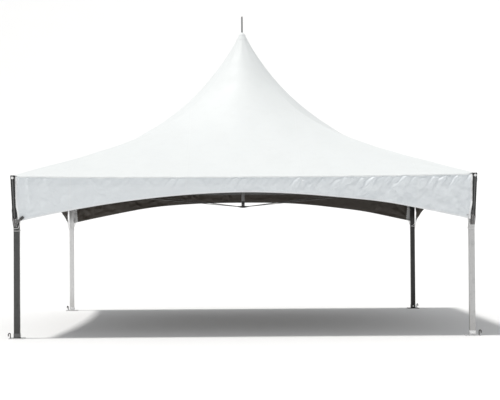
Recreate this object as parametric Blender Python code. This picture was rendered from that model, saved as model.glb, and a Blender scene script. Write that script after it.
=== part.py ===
# High-peak frame marquee: square plan, four legs, eave beams, cable-hung mast, white canopy.
# Metres, +Z up, the plan centre on the floor at the origin, the front of the tent facing -Y.
import bmesh
import bpy
import numpy as np
from mathutils import Matrix, Vector

for old in list(bpy.data.objects):
    bpy.data.objects.remove(old, do_unlink=True)

# Overall sizes
PLAN_HALF = 3.048
EAVE_Z = 2.130
EAVE_SAG = 0.020
FABRIC = 0.006
GAP = 0.0003

# Canopy: a logarithmic sweep from the crown to the eave, round at the top and square at the eave
ROOF_SWEEP = 1.320
ROOF_EASE = 0.200
CROWN_SHARE = 0.0148
ROUND_FROM = 0.10
CORNER_CUT = 6.010

# Legs, base plates and stakes
LEG_CENTRE = 2.985
LEG_SIDE = 0.076
LEG_WALL = 0.004
LEG_CURVE = 0.006
LEG_TOP = 1.990
PLATE_SIDE = 0.200
PLATE_THICK = 0.008
PLATE_CURVE = 0.012
FOOT_SPIGOT_TOP = 0.120
STAKE_OUT = 0.076
STAKE_RADIUS = 0.007
STAKE_SLACK = 0.0004
STAKE_BEND = 0.016
STAKE_BEND_Z = 0.058
STAKE_END_Z = 0.035

# Eave beams and corner fittings
BEAM_CENTRE = 3.015
BEAM_WIDE = 0.050
BEAM_DEEP = 0.100
BEAM_WALL = 0.003
BEAM_CURVE = 0.005
BEAM_INNER_CURVE = 0.003
BEAM_TOUCH = 0.004
BEAM_SPIGOT = 0.150
SPIGOT_CURVE = 0.004
LEG_SPIGOT = 0.100
JOIN = 0.010
LUG_THICK = 0.012
LUG_REACH = 0.035
LUG_HALF_TALL = 0.022
LUG_DROP = 0.036

# Valances
VALANCE_HALF = 2.965
VALANCE_THICK = 0.004
ARCH_MID_Z = 1.895
ARCH_END_Z = 1.528
ARCH_POWER = 1.85

# Mast, shoe and spike
MAST_RADIUS = 0.0254
MAST_WALL = 0.0032
MAST_FOOT_Z = 1.835
MAST_TOP_Z = 4.380
SHOE_Z = 1.735
SHOE_RADIUS = 0.018
SHOE_CURVE = 0.008
SHOE_COLLAR = 0.0275
SHOE_COLLAR_TALL = 0.010
SHOE_PLUG = 0.060
SHOE_LUG_REACH = 0.045
SHOE_LUG_HALF_TALL = 0.014
SHOE_LUG_Z = SHOE_Z + 0.016
SPIKE_TOP_Z = 4.680
SPIKE_PLUG = 0.080
FLANGE_RADIUS = 0.0435
DOME_RADIUS = 0.0500
DOME_SEAT = 0.001
DOME_RIM = 0.006
DOME_TALL = 0.022
ROD_RADIUS = 0.0125

# Corner caps, straps and ratchets: one handle stands open, the others lie shut over their straps
CAP_CENTRE = 3.030
CAP_RADIUS = 0.032
CAP_FLAT = 0.024
CAP_SIDE = 0.012
CAP_TALL = 0.024
STRAP_WIDE = 0.050
STRAP_THICK = 0.004
STRAP_LAP = 0.022
STRAP_BEND = 0.012
STRAP_OUT = 0.036
STRAP_FOOT = (3.003, 3.046)
RATCHET_CENTRE = 2.995
RATCHET_LOW = 1.455
RATCHET_HIGH = 1.565
RATCHET_HALF_WIDE = 0.028
RATCHET_DEEP = 0.036
SPINDLE_Z = 1.500
SPINDLE_RADIUS = 0.014
SPINDLE_FROM = 0.020
HANDLE_OPEN = 40
HANDLE_SHUT = 90
OPEN_CORNER = "front_left"
HANDLE_BACK = 0.025
HANDLE_LONG = 0.145
HANDLE_HALF_WIDE = 0.022
HANDLE_FROM = 0.038
HANDLE_TO = 0.048

# Cross cables with a turnbuckle near each corner
CABLE_RADIUS = 0.005
SWAGE_RADIUS = 0.008
SWAGE_LONG = 0.075
SCREW_RADIUS = 0.006
SCREW_LONG = 0.040
BUCKLE_RADIUS = 0.012
BUCKLE_FROM = 0.095
BUCKLE_TO = 0.265
TAPER = 0.005
LUG_CLEAR = 0.0005
END_CLEAR = 0.0008

CORNERS = {
    "front_left": (-1, -1),
    "front_right": (1, -1),
    "rear_left": (-1, 1),
    "rear_right": (1, 1),
}
SIDES = {"front": 0, "right": 1, "rear": 2, "left": 3}


def paint(name, colour, roughness, metallic):
    material = bpy.data.materials.new(name)
    material.use_nodes = True
    shader = material.node_tree.nodes["Principled BSDF"]
    shader.inputs["Base Color"].default_value = (*colour, 1)
    shader.inputs["Roughness"].default_value = roughness
    shader.inputs["Metallic"].default_value = metallic
    return material


ROOF_VINYL = paint("roof_vinyl", (0.90, 0.92, 0.92), 0.45, 0)
VALANCE_VINYL = paint("valance_vinyl", (0.86, 0.88, 0.90), 0.5, 0)
TUBE_ALUMINIUM = paint("tube_aluminium", (0.60, 0.60, 0.60), 0.42, 1)
GALVANISED_STEEL = paint("galvanised_steel", (0.45, 0.46, 0.46), 0.5, 1)
DARK_STEEL = paint("dark_steel", (0.10, 0.10, 0.10), 0.5, 1)
CABLE_STEEL = paint("cable_steel", (0.35, 0.35, 0.36), 0.4, 1)
BLACK_WEBBING = paint("black_webbing", (0.02, 0.02, 0.022), 0.8, 0)
BLACK_CAP = paint("black_cap", (0.025, 0.025, 0.027), 0.55, 0)


def place(name, points, faces, material, origin=(0, 0, 0), smooth=False):
    """A closed mesh from world points, its origin moved to the given point and its faces turned outward."""
    mesh = bpy.data.meshes.new(name)
    local = np.asarray(points, float) - np.asarray(origin, float)
    mesh.from_pydata(local.tolist(), [], faces)
    work = bmesh.new()
    work.from_mesh(mesh)
    bmesh.ops.recalc_face_normals(work, faces=work.faces)
    work.to_mesh(mesh)
    work.free()
    mesh.materials.append(material)
    if smooth:
        mesh.shade_smooth()
        mesh.set_sharp_from_angle(angle=np.radians(35))
    obj = bpy.data.objects.new(name, mesh)
    obj.location = origin
    bpy.context.scene.collection.objects.link(obj)
    return obj


def loft(loops, closed=False):
    """Points and faces through equal loops: end caps, or the last loop joined to the first."""
    count, size = len(loops), len(loops[0])
    faces = []
    for i in range(count if closed else count - 1):
        a, b = i * size, (i + 1) % count * size
        faces += [(a + j, a + (j + 1) % size, b + (j + 1) % size, b + j) for j in range(size)]
    if not closed:
        faces += [tuple(range(size)), tuple(range((count - 1) * size, count * size))]
    return np.concatenate(loops), faces


def slab(top, under):
    """A sheet between two equal grids of points."""
    rows, columns = top.shape[:2]
    number = np.arange(rows * columns).reshape(rows, columns)
    quads = np.stack([number[:-1, :-1], number[1:, :-1], number[1:, 1:], number[:-1, 1:]], -1).reshape(-1, 4)
    rim = np.concatenate([number[0, :-1], number[:-1, -1], number[-1, :0:-1], number[:0:-1, 0]])
    other = rim + rows * columns
    edge = np.stack([rim, np.roll(rim, -1), np.roll(other, -1), other], -1)
    faces = np.concatenate([quads, quads[:, ::-1] + rows * columns, edge])
    return np.concatenate([top.reshape(-1, 3), under.reshape(-1, 3)]), faces.tolist()


def circle(radius, steps):
    angle = np.arange(steps) * 2 * np.pi / steps
    return radius * np.stack([np.cos(angle), np.sin(angle)], -1)


def rounded(wide, deep, radius, steps=3):
    """A rectangle with rounded corners, as points about its centre."""
    turn = np.linspace(0, np.pi / 2, steps + 1)
    corners = []
    for k, (sx, sy) in enumerate(((1, 1), (-1, 1), (-1, -1), (1, -1))):
        angle = turn + k * np.pi / 2
        centre = np.array([sx * (wide / 2 - radius), sy * (deep / 2 - radius)])
        corners.append(centre + radius * np.stack([np.cos(angle), np.sin(angle)], -1))
    return np.concatenate(corners)


def at(flat, level):
    return np.column_stack([flat, np.full(len(flat), level)])


def turned(profile, steps=24):
    """Loops about the Z axis through (radius, height) pairs."""
    around = circle(1, steps)
    return [at(around * radius, z) for radius, z in profile]


def swept(path, section, side):
    """Loops of a flat section along a path: its first axis along side, its second square to the path."""
    path, side = np.asarray(path, float), np.asarray(side, float)
    up = np.cross(side, np.gradient(path, axis=0))
    up /= np.linalg.norm(up, axis=1)[:, None]
    return list(path[:, None] + section[None, :, :1] * side + section[None, :, 1:] * up[:, None])


def block(low, high):
    """An axis-aligned box as a loft."""
    (x0, y0, z0), (x1, y1, z1) = low, high
    flat = np.array([(x0, y0), (x1, y0), (x1, y1), (x0, y1)])
    return loft([at(flat, z0), at(flat, z1)])


def moved(points, sx=1, sy=1, shift=(0, 0, 0)):
    """Points shifted, then mirrored into one corner of the plan."""
    return (np.asarray(points, float) + shift) * (sx, sy, 1)


def turned_side(points, quarter):
    """Points of the front side turned to another side of the plan."""
    cosine, sine = ((1, 0), (0, 1), (-1, 0), (0, -1))[quarter]
    x, y, z = np.moveaxis(np.asarray(points, float), -1, 0)
    return np.stack([cosine * x - sine * y, sine * x + cosine * y, z], -1)


def helper(name, points, faces):
    """A hidden shape that a Boolean uses."""
    obj = place(name, points, faces, GALVANISED_STEEL)
    obj.hide_render = True
    obj.display_type = "WIRE"
    return obj


def combine(obj, other, operation):
    boolean = obj.modifiers.new(operation.lower(), "BOOLEAN")
    boolean.operation = operation
    boolean.solver = "EXACT"
    boolean.object = other


def roof_height(share):
    """Height of the canopy's hips at shares of the way out from the mast to the eave."""
    return EAVE_Z + ROOF_SWEEP * np.log((1 + ROOF_EASE) / (share + ROOF_EASE))


def roof_points(share, across):
    """Front roof panel: rings that turn from round near the crown to square at the eave."""
    blend = np.clip((share - ROUND_FROM) / (1 - ROUND_FROM), 0, 1)
    blend = blend * blend * (3 - 2 * blend)
    bearing = np.arctan(across)
    reach = PLAN_HALF * share * (1 - blend + blend / np.cos(bearing))
    height = roof_height(share) - EAVE_SAG * share ** 4 * (1 - across ** 2)
    return np.stack([reach * np.sin(bearing), -reach * np.cos(bearing) - GAP * 2 / 3, height], -1)


def eave_height(x):
    """Height of the canopy's top face along its outer edge."""
    return EAVE_Z - EAVE_SAG * (1 - (x / PLAN_HALF) ** 2)


# Eave beams take their height from the fabric that they carry
EAVE_SLOPE = ROOF_SWEEP / (1 + ROOF_EASE) / PLAN_HALF
BEAM_EDGE = BEAM_CENTRE + BEAM_WIDE / 2
BEAM_TOP = float(eave_height(0) - FABRIC + EAVE_SLOPE * (PLAN_HALF - BEAM_EDGE + BEAM_TOUCH) - GAP)
LEG_INNER = LEG_CENTRE - LEG_SIDE / 2
LEG_FACE = LEG_CENTRE + LEG_SIDE / 2 + GAP
BORE = MAST_RADIUS - MAST_WALL - GAP
CROWN_Z = float(roof_height(CROWN_SHARE))
LUG_Z = BEAM_TOP - LUG_DROP
DIAGONAL = np.array(Matrix.Rotation(np.pi / 4, 3, "Z"))


# Roof panels, four gores that meet along the hips
first_cut = CORNER_CUT / (2 * PLAN_HALF)
spread = np.linspace(0, 1, 25) ** 1.5
share = np.append(CROWN_SHARE + (first_cut - CROWN_SHARE) * spread, 1.0)[:, None]
widest = np.minimum(1, CORNER_CUT / (PLAN_HALF * share) - 1)
across = widest * np.linspace(-1, 1, 17)[None, :]
top = roof_points(np.broadcast_to(share, across.shape), across)
points, faces = slab(top, top - (0, 0, FABRIC))
for side, quarter in SIDES.items():
    place(f"roof_panel_{side}", turned_side(points, quarter), faces, ROOF_VINYL, smooth=True)

# Valances, arched skirts that hang from the canopy's edge
x = VALANCE_HALF * np.linspace(-1, 1, 37)
high = eave_height(x) - FABRIC - GAP
low = ARCH_MID_Z - (ARCH_MID_Z - ARCH_END_Z) * np.abs(x / VALANCE_HALF) ** ARCH_POWER
height = high + (low - high) * np.linspace(0, 1, 4)[:, None]
outer = np.stack([np.broadcast_to(x, height.shape), np.full_like(height, -PLAN_HALF), height], -1)
points, faces = slab(outer, outer + (0, VALANCE_THICK, 0))
for side, quarter in SIDES.items():
    origin = turned_side((0, -PLAN_HALF, ARCH_MID_Z), quarter)
    place(f"valance_{side}", turned_side(points, quarter), faces, VALANCE_VINYL, origin)

# Eave beams, box tubes between the corner fittings
outline = rounded(BEAM_WIDE, BEAM_DEEP, BEAM_CURVE)
hollow = rounded(BEAM_WIDE - 2 * BEAM_WALL, BEAM_DEEP - 2 * BEAM_WALL, BEAM_INNER_CURVE)
end = LEG_INNER - GAP
points, faces = loft([at(outline, -end), at(outline, end), at(hollow, end), at(hollow, -end)], closed=True)
points = points[:, (2, 0, 1)] + (0, -BEAM_CENTRE, BEAM_TOP - BEAM_DEEP / 2)
for side, quarter in SIDES.items():
    origin = turned_side((0, -BEAM_CENTRE, BEAM_TOP), quarter)
    place(f"eave_beam_{side}", turned_side(points, quarter), faces, TUBE_ALUMINIUM, origin)

# Mast, a round tube hung under the crown
profile = [
    (MAST_RADIUS, MAST_FOOT_Z),
    (MAST_RADIUS, MAST_TOP_Z),
    (MAST_RADIUS - MAST_WALL, MAST_TOP_Z),
    (MAST_RADIUS - MAST_WALL, MAST_FOOT_Z),
]
place("mast", *loft(turned(profile), closed=True), TUBE_ALUMINIUM, (0, 0, MAST_FOOT_Z), smooth=True)

# Peak spike: a plug in the mast, a flange in the crown's hole, a dome over its edge and a rod
profile = [
    (BORE, MAST_TOP_Z - SPIKE_PLUG),
    (BORE, MAST_TOP_Z + GAP),
    (FLANGE_RADIUS, MAST_TOP_Z + GAP),
    (FLANGE_RADIUS, CROWN_Z + DOME_SEAT),
    (DOME_RADIUS, CROWN_Z + DOME_SEAT),
]
for t in np.linspace(0, 1, 7):
    radius = ROD_RADIUS + (DOME_RADIUS - ROD_RADIUS) * (0.5 + 0.5 * np.cos(np.pi * t))
    profile.append((radius, CROWN_Z + DOME_RIM + DOME_TALL * t))
for a in np.radians((0, 25, 50, 75)):
    profile.append((ROD_RADIUS * np.cos(a), SPIKE_TOP_Z - ROD_RADIUS * (np.sin(np.radians(75)) - np.sin(a))))
place("peak_spike", *loft(turned(profile)), TUBE_ALUMINIUM, (0, 0, MAST_TOP_Z), smooth=True)

# Mast shoe: a plug in the mast's foot and two crossed lug plates that take the cables
profile = []
for a in np.linspace(0, np.pi / 2, 5):
    radius = SHOE_RADIUS - SHOE_CURVE * (1 - np.sin(a))
    profile.append((radius, SHOE_Z + SHOE_CURVE * (1 - np.cos(a))))
profile += [
    (SHOE_RADIUS, MAST_FOOT_Z - SHOE_COLLAR_TALL),
    (SHOE_COLLAR, MAST_FOOT_Z - SHOE_COLLAR_TALL),
    (SHOE_COLLAR, MAST_FOOT_Z - GAP),
    (BORE, MAST_FOOT_Z - GAP),
    (BORE, MAST_FOOT_Z + SHOE_PLUG),
]
shoe = place("mast_shoe", *loft(turned(profile)), GALVANISED_STEEL, (0, 0, SHOE_Z), smooth=True)
corner_low = (-SHOE_LUG_REACH, -LUG_THICK / 2, SHOE_LUG_Z - SHOE_LUG_HALF_TALL)
corner_high = (SHOE_LUG_REACH, LUG_THICK / 2, SHOE_LUG_Z + SHOE_LUG_HALF_TALL)
points, faces = block(corner_low, corner_high)
combine(shoe, helper("shoe_lug_a", points @ DIAGONAL.T, faces), "UNION")
combine(shoe, helper("shoe_lug_b", points @ DIAGONAL, faces), "UNION")

for corner, (sx, sy) in CORNERS.items():
    leg_at = np.array([LEG_CENTRE * sx, LEG_CENTRE * sy, 0])

    # Leg, a hollow square tube
    outline = rounded(LEG_SIDE, LEG_SIDE, LEG_CURVE)
    hollow = rounded(LEG_SIDE - 2 * LEG_WALL, LEG_SIDE - 2 * LEG_WALL, LEG_CURVE / 2)
    base = PLATE_THICK + GAP
    loops = [at(outline, base), at(outline, LEG_TOP), at(hollow, LEG_TOP), at(hollow, base)]
    points, faces = loft(loops, closed=True)
    place(f"leg_{corner}", points + leg_at, faces, TUBE_ALUMINIUM, leg_at + (0, 0, base))

    # Base plate with a spigot in the leg and a stake hole in its outer corner
    points, faces = loft([at(rounded(PLATE_SIDE, PLATE_SIDE, PLATE_CURVE), z) for z in (0, PLATE_THICK)])
    plate = place(f"base_plate_{corner}", points + leg_at, faces, GALVANISED_STEEL, leg_at)
    spigot_side = LEG_SIDE - 2 * LEG_WALL - 2 * GAP
    spigot = rounded(spigot_side, spigot_side, LEG_WALL)
    points, faces = loft([at(spigot, z) for z in (PLATE_THICK / 2, FOOT_SPIGOT_TOP)])
    combine(plate, helper(f"plate_spigot_{corner}", points + leg_at, faces), "UNION")
    stake_at = leg_at + (STAKE_OUT * sx, STAKE_OUT * sy, 0)
    hole = circle(STAKE_RADIUS + STAKE_SLACK, 24)
    points, faces = loft([at(hole, z) for z in (-PLATE_THICK, 2 * PLATE_THICK)])
    combine(plate, helper(f"stake_hole_{corner}", points + stake_at, faces), "DIFFERENCE")

    # Stake, a hooked pin through the plate: only the part above the ground
    outward = np.array([sx, sy, 0]) / np.sqrt(2)
    path = [stake_at, stake_at + (0, 0, STAKE_END_Z)]
    for a in np.linspace(0, np.pi, 9):
        level = STAKE_BEND_Z + STAKE_BEND * np.sin(a)
        path.append(stake_at + outward * STAKE_BEND * (1 - np.cos(a)) + (0, 0, level))
    path.append(stake_at + outward * 2 * STAKE_BEND + (0, 0, STAKE_END_Z))
    square = (-outward[1], outward[0], 0)
    points, faces = loft(swept(path, circle(STAKE_RADIUS, 10), square))
    place(f"stake_{corner}", points, faces, DARK_STEEL, stake_at, smooth=True)

    # Corner fitting: a block on the leg, spigots in the leg and both beams, and the cable's lug
    points, faces = block((LEG_INNER, LEG_INNER, LEG_TOP + GAP), (BEAM_EDGE, BEAM_EDGE, BEAM_TOP))
    origin = leg_at + (0, 0, LEG_TOP)
    fitting = place(f"corner_fitting_{corner}", moved(points, sx, sy), faces, GALVANISED_STEEL, origin)
    points, faces = loft([at(spigot, z) for z in (LEG_TOP - LEG_SPIGOT, LEG_TOP + JOIN)])
    combine(fitting, helper(f"leg_spigot_{corner}", points + leg_at, faces), "UNION")
    fit = 2 * (BEAM_WALL + GAP)
    section = rounded(BEAM_WIDE - fit, BEAM_DEEP - fit, SPIGOT_CURVE)
    points, faces = loft([at(section, x) for x in (LEG_INNER - BEAM_SPIGOT, LEG_INNER + JOIN)])
    points = points[:, (2, 0, 1)] + (0, BEAM_CENTRE, BEAM_TOP - BEAM_DEEP / 2)
    combine(fitting, helper(f"beam_spigot_x_{corner}", moved(points, sx, sy), faces), "UNION")
    swapped = points[:, (1, 0, 2)]
    combine(fitting, helper(f"beam_spigot_y_{corner}", moved(swapped, sx, sy), faces), "UNION")
    half = (LUG_THICK / 2, LUG_HALF_TALL)
    points, faces = block((-LUG_REACH, -half[0], LUG_Z - half[1]), (LUG_REACH, half[0], LUG_Z + half[1]))
    points = points @ DIAGONAL.T + (LEG_INNER, LEG_INNER, 0)
    combine(fitting, helper(f"cable_lug_{corner}", moved(points, sx, sy), faces), "UNION")

    # Corner cap, a black domed pad on the fitting under the corner strap
    profile = [(CAP_RADIUS, BEAM_TOP + GAP)]
    for a in np.linspace(0, np.pi / 2, 5):
        radius = CAP_FLAT + (CAP_RADIUS - CAP_FLAT) * np.cos(a)
        profile.append((radius, BEAM_TOP + CAP_SIDE + (CAP_TALL - CAP_SIDE) * np.sin(a)))
    points, faces = loft(turned(profile, 20))
    points = moved(points, sx, sy, (CAP_CENTRE, CAP_CENTRE, 0))
    origin = (CAP_CENTRE * sx, CAP_CENTRE * sy, BEAM_TOP + GAP)
    place(f"corner_cap_{corner}", points, faces, BLACK_CAP, origin, smooth=True)

    # Corner strap, webbing over the cap, round its edge and down to the ratchet
    level = BEAM_TOP + CAP_TALL + STRAP_THICK / 2 + GAP
    turn_at = CAP_CENTRE + STRAP_OUT - STRAP_BEND
    path = [(CAP_CENTRE, CAP_CENTRE - STRAP_LAP, level)]
    for a in np.linspace(0, np.pi / 2, 6):
        path.append((CAP_CENTRE, turn_at + STRAP_BEND * np.sin(a), level - STRAP_BEND * (1 - np.cos(a))))
    path.append((*STRAP_FOOT, RATCHET_HIGH + 2 * GAP))
    section = np.array([(1, 1), (-1, 1), (-1, -1), (1, -1)]) * (STRAP_WIDE / 2, STRAP_THICK / 2)
    points, faces = loft(swept(path, section, (1, 0, 0)))
    origin = (CAP_CENTRE * sx, CAP_CENTRE * sy, level)
    place(f"corner_strap_{corner}", moved(points, sx, sy), faces, BLACK_WEBBING, origin)

    # Ratchet on the leg's face: frame, spindle, and a handle that slants toward the opening or lies shut
    low = (RATCHET_CENTRE - RATCHET_HALF_WIDE, LEG_FACE, RATCHET_LOW)
    high = (RATCHET_CENTRE + RATCHET_HALF_WIDE, LEG_FACE + RATCHET_DEEP, RATCHET_HIGH)
    points, faces = block(low, high)
    origin = (RATCHET_CENTRE * sx, LEG_FACE * sy, (RATCHET_LOW + RATCHET_HIGH) / 2)
    ratchet = place(f"ratchet_{corner}", moved(points, sx, sy), faces, DARK_STEEL, origin)
    spindle = circle(SPINDLE_RADIUS, 16)
    ends = (SPINDLE_FROM, (HANDLE_FROM + HANDLE_TO) / 2)
    points, faces = loft([at(spindle, LEG_FACE + y) for y in ends])
    points = points[:, (0, 2, 1)] + (RATCHET_CENTRE, 0, SPINDLE_Z)
    combine(ratchet, helper(f"spindle_{corner}", moved(points, sx, sy), faces), "UNION")
    low = (-HANDLE_LONG, LEG_FACE + HANDLE_FROM, -HANDLE_HALF_WIDE)
    high = (HANDLE_BACK, LEG_FACE + HANDLE_TO, HANDLE_HALF_WIDE)
    points, faces = block(low, high)
    angle = HANDLE_OPEN if corner == OPEN_CORNER else HANDLE_SHUT
    slant = np.array(Matrix.Rotation(np.radians(angle), 3, "Y"))
    points = points @ slant.T + (RATCHET_CENTRE, 0, SPINDLE_Z)
    combine(ratchet, helper(f"handle_{corner}", moved(points, sx, sy), faces), "UNION")

    # Cross cable with a turnbuckle near the corner and swaged ends
    reach = LEG_INNER - (LUG_REACH + LUG_CLEAR) / np.sqrt(2)
    start = np.array([sx * reach, sy * reach, LUG_Z])
    end = np.array([sx, sy, 0]) / np.sqrt(2) * (SHOE_LUG_REACH + LUG_CLEAR) + (0, 0, SHOE_LUG_Z)
    length = float(np.linalg.norm(end - start))
    profile = [
        (SWAGE_RADIUS, END_CLEAR),
        (SWAGE_RADIUS, BUCKLE_FROM - SCREW_LONG - TAPER),
        (SCREW_RADIUS, BUCKLE_FROM - SCREW_LONG),
        (SCREW_RADIUS, BUCKLE_FROM - TAPER),
        (BUCKLE_RADIUS, BUCKLE_FROM),
        (BUCKLE_RADIUS, BUCKLE_TO),
        (SCREW_RADIUS, BUCKLE_TO + TAPER),
        (SCREW_RADIUS, BUCKLE_TO + SCREW_LONG),
        (CABLE_RADIUS, BUCKLE_TO + SCREW_LONG + 2 * TAPER),
        (CABLE_RADIUS, length - SWAGE_LONG - TAPER),
        (SWAGE_RADIUS, length - SWAGE_LONG),
        (SWAGE_RADIUS, length - END_CLEAR),
    ]
    points, faces = loft(turned(profile, 12))
    aim = np.array(Vector((0, 0, 1)).rotation_difference(Vector(end - start)).to_matrix())
    place(f"cross_cable_{corner}", points @ aim.T + start, faces, CABLE_STEEL, start, smooth=True)
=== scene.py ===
import bmesh
import bpy
import numpy as np
from mathutils import Matrix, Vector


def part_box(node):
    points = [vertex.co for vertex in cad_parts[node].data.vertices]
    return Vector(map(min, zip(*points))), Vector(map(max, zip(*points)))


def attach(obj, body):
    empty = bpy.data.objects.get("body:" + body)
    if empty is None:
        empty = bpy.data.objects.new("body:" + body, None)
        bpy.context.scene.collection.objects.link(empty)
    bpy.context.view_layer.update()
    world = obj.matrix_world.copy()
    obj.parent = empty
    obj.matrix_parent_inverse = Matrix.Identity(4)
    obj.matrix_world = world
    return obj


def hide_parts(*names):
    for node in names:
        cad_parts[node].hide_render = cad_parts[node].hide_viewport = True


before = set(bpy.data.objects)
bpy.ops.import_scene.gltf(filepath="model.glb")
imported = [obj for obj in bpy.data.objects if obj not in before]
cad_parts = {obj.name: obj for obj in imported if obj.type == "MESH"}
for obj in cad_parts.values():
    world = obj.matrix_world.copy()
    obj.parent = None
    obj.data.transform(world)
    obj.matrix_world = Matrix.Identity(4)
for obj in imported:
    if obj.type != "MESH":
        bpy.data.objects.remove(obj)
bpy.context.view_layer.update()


# Camera: a long lens at standing height, 21 m in front of the tent's middle, turned, tipped and rolled by
# about a degree at most, as the photograph's own lines give.
CAMERA_AT = (-0.113, -20.818, 1.432)
YAW, PITCH, ROLL = np.radians((-0.604, 1.164, -0.37))
SENSOR_MM, LENS_MM, SEEN_TO = 36, 97.73, 400

camera = bpy.data.objects.new("camera", bpy.data.cameras.new("camera"))
camera.data.sensor_width = SENSOR_MM
camera.data.lens = LENS_MM
camera.data.clip_end = SEEN_TO
aim = Matrix.Rotation(YAW, 4, "Z") @ Matrix.Rotation(np.pi / 2 + PITCH, 4, "X")
aim = aim @ Matrix.Rotation(ROLL, 4, "Z")
camera.matrix_world = Matrix.Translation(CAMERA_AT) @ aim
bpy.context.scene.collection.objects.link(camera)
bpy.context.scene.camera = camera
bpy.context.scene.view_settings.view_transform = "Standard"


# Studio light: a pale even sky and one soft key high overhead that leans to the left.
SKY_COLOUR, SKY_STRENGTH = (0.97, 0.985, 1.0, 1), 0.54
KEY_COLOUR, KEY_STRENGTH = (1.0, 0.985, 0.96), 2.36
KEY_TURN, KEY_TILT, KEY_WIDTH = np.radians((-84, 18, 7))

world = bpy.data.worlds.new("studio")
world.use_nodes = True
sky = world.node_tree.nodes["Background"].inputs
sky["Color"].default_value = SKY_COLOUR
sky["Strength"].default_value = SKY_STRENGTH
bpy.context.scene.world = world

key = bpy.data.objects.new("key_light", bpy.data.lights.new("key_light", "SUN"))
key.data.energy = KEY_STRENGTH
key.data.angle = KEY_WIDTH
key.data.color = KEY_COLOUR
key.matrix_world = Matrix.Rotation(KEY_TURN, 4, "Z") @ Matrix.Rotation(KEY_TILT, 4, "X")
bpy.context.scene.collection.objects.link(key)


# Floor: a pale studio floor, flat under the tent, whose far rim turns up along an arc into a gentle slope,
# so that no horizon shows.
FLOOR_RINGS = (0.5, 8, 20, 34)
FLOOR_FLAT, FLOOR_SWEEP, FLOOR_RIM = 42.0, 30.0, 80.0
FLOOR_SLOPE = np.radians(38)


class Signal:
    """A number carried by a shader socket. Each operator adds one Math node."""

    def __init__(self, finish, socket):
        self.finish = finish
        self.socket = socket

    def math(self, operation, *values):
        """A Math node over one or two values, each a signal or a plain number."""
        sockets = dict(zip(("Value", "Value_001"), values))
        return self.finish.node("ShaderNodeMath", {"operation": operation}, sockets)

    def __rsub__(self, other):
        return self.math("SUBTRACT", other, self)

    def rise(self, low, high):
        """0 below low, 1 above high, a soft step between."""
        sockets = {"Value": self, "From Min": low, "From Max": high}
        return self.finish.node("ShaderNodeMapRange", {"interpolation_type": "SMOOTHSTEP"}, sockets)

    def band(self, half, soft):
        """1 where the signal is under half, fading to 0 over soft."""
        return 1 - self.rise(half - soft / 2, half + soft / 2)


def as_method(operation):
    """A method that puts a signal, and what is given with it, through one Math operation."""
    return lambda self, *given: self.math(operation, self, *given)


# The last gives the distance to the nearest multiple of twice a pitch: it goes from 0 to the pitch and back.
for word, operation in (
        ("__add__", "ADD"), ("__radd__", "ADD"), ("__sub__", "SUBTRACT"), ("__mul__", "MULTIPLY"),
        ("__rmul__", "MULTIPLY"), ("__truediv__", "DIVIDE"), ("__pow__", "POWER"), ("__abs__", "ABSOLUTE"),
        ("least", "MINIMUM"), ("most", "MAXIMUM"), ("repeat", "PINGPONG")):
    setattr(Signal, word, as_method(operation))


class Finish:
    """A material, whose varying inputs are signals."""

    def __init__(self, name, roughness, metallic=0.0):
        self.material = bpy.data.materials.new(name)
        self.material.use_nodes = True
        self.tree = self.material.node_tree
        self.shader = self.tree.nodes["Principled BSDF"]
        self.shader.inputs["Roughness"].default_value = roughness
        self.shader.inputs["Metallic"].default_value = metallic
        self.place = self.node("ShaderNodeTexCoord", out="Object")

    def node(self, kind, settings=(), sockets=(), out=0):
        """One node: its kind, its settings, the values or links of its sockets, and the output to use."""
        node = self.tree.nodes.new(kind)
        for word, value in dict(settings).items():
            setattr(node, word, value)
        for word, value in dict(sockets).items():
            place = next(s for s in node.inputs if word in (s.identifier, s.name))
            if isinstance(value, Signal):
                self.tree.links.new(value.socket, place)
            else:
                place.default_value = value
        return Signal(self, next(s for i, s in enumerate(node.outputs) if out in (i, s.identifier, s.name)))

    def axes(self, vector=None):
        """The three numbers of a vector, or of the place on the object."""
        split = self.node("ShaderNodeSeparateXYZ", (), {"Vector": vector or self.place})
        return [Signal(self, s) for s in split.socket.node.outputs]

    def drawn_out(self, scale):
        """The place times a factor along each axis: a pattern is long where its factor is small."""
        sockets = {"Vector": self.place, "Vector_001": scale}
        return self.node("ShaderNodeVectorMath", {"operation": "MULTIPLY"}, sockets)

    def laid(self):
        """The piece's own UV map, in metres along its surface."""
        return self.axes(self.node("ShaderNodeUVMap", {"uv_map": "UVMap"}))

    def noise(self, scale, detail, vector=None, rough=0.55):
        """Fractal noise from 0 to 1, about scale lumps to the metre."""
        sockets = {"Vector": vector or self.place, "Scale": scale, "Detail": detail, "Roughness": rough}
        return self.node("ShaderNodeTexNoise", (), sockets)

    def layered(self, colour, *layers):
        """A colour with others laid over it in turn, each by a factor from 0 to 1."""
        for factor, over in layers:
            sockets = {"Factor_Float": factor, "A_Color": colour, "B_Color": over}
            colour = self.node("ShaderNodeMix", {"data_type": "RGBA"}, sockets, "Result_Color")
        return colour

    def set(self, colour, roughness=None, bump=None, depth=None):
        """Links what varies over the surface: a colour, a roughness, a bump and its depth in metres."""
        self.tree.links.new(colour.socket, self.shader.inputs["Base Color"])
        if roughness:
            normal = self.node("ShaderNodeBump", (), {"Distance": depth, "Height": bump}, "Normal")
            self.tree.links.new(roughness.socket, self.shader.inputs["Roughness"])
            self.tree.links.new(normal.socket, self.shader.inputs["Normal"])
        return self.material


def grey(level, warm=0.0):
    """A grey as a colour, with a little more red and less blue where warm is above 0."""
    return (level * (1 + warm), level, level * (1 - warm), 1)


def bearings(steps):
    """Equal turns round a circle."""
    return np.arange(steps) * 2 * np.pi / steps


def about_middle(reach, heading, height):
    """Points about the Z axis at a reach, a height and a heading, which is 0 toward the front."""
    return np.stack([reach * np.sin(heading), -reach * np.cos(heading), height + 0 * heading], -1)


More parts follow.
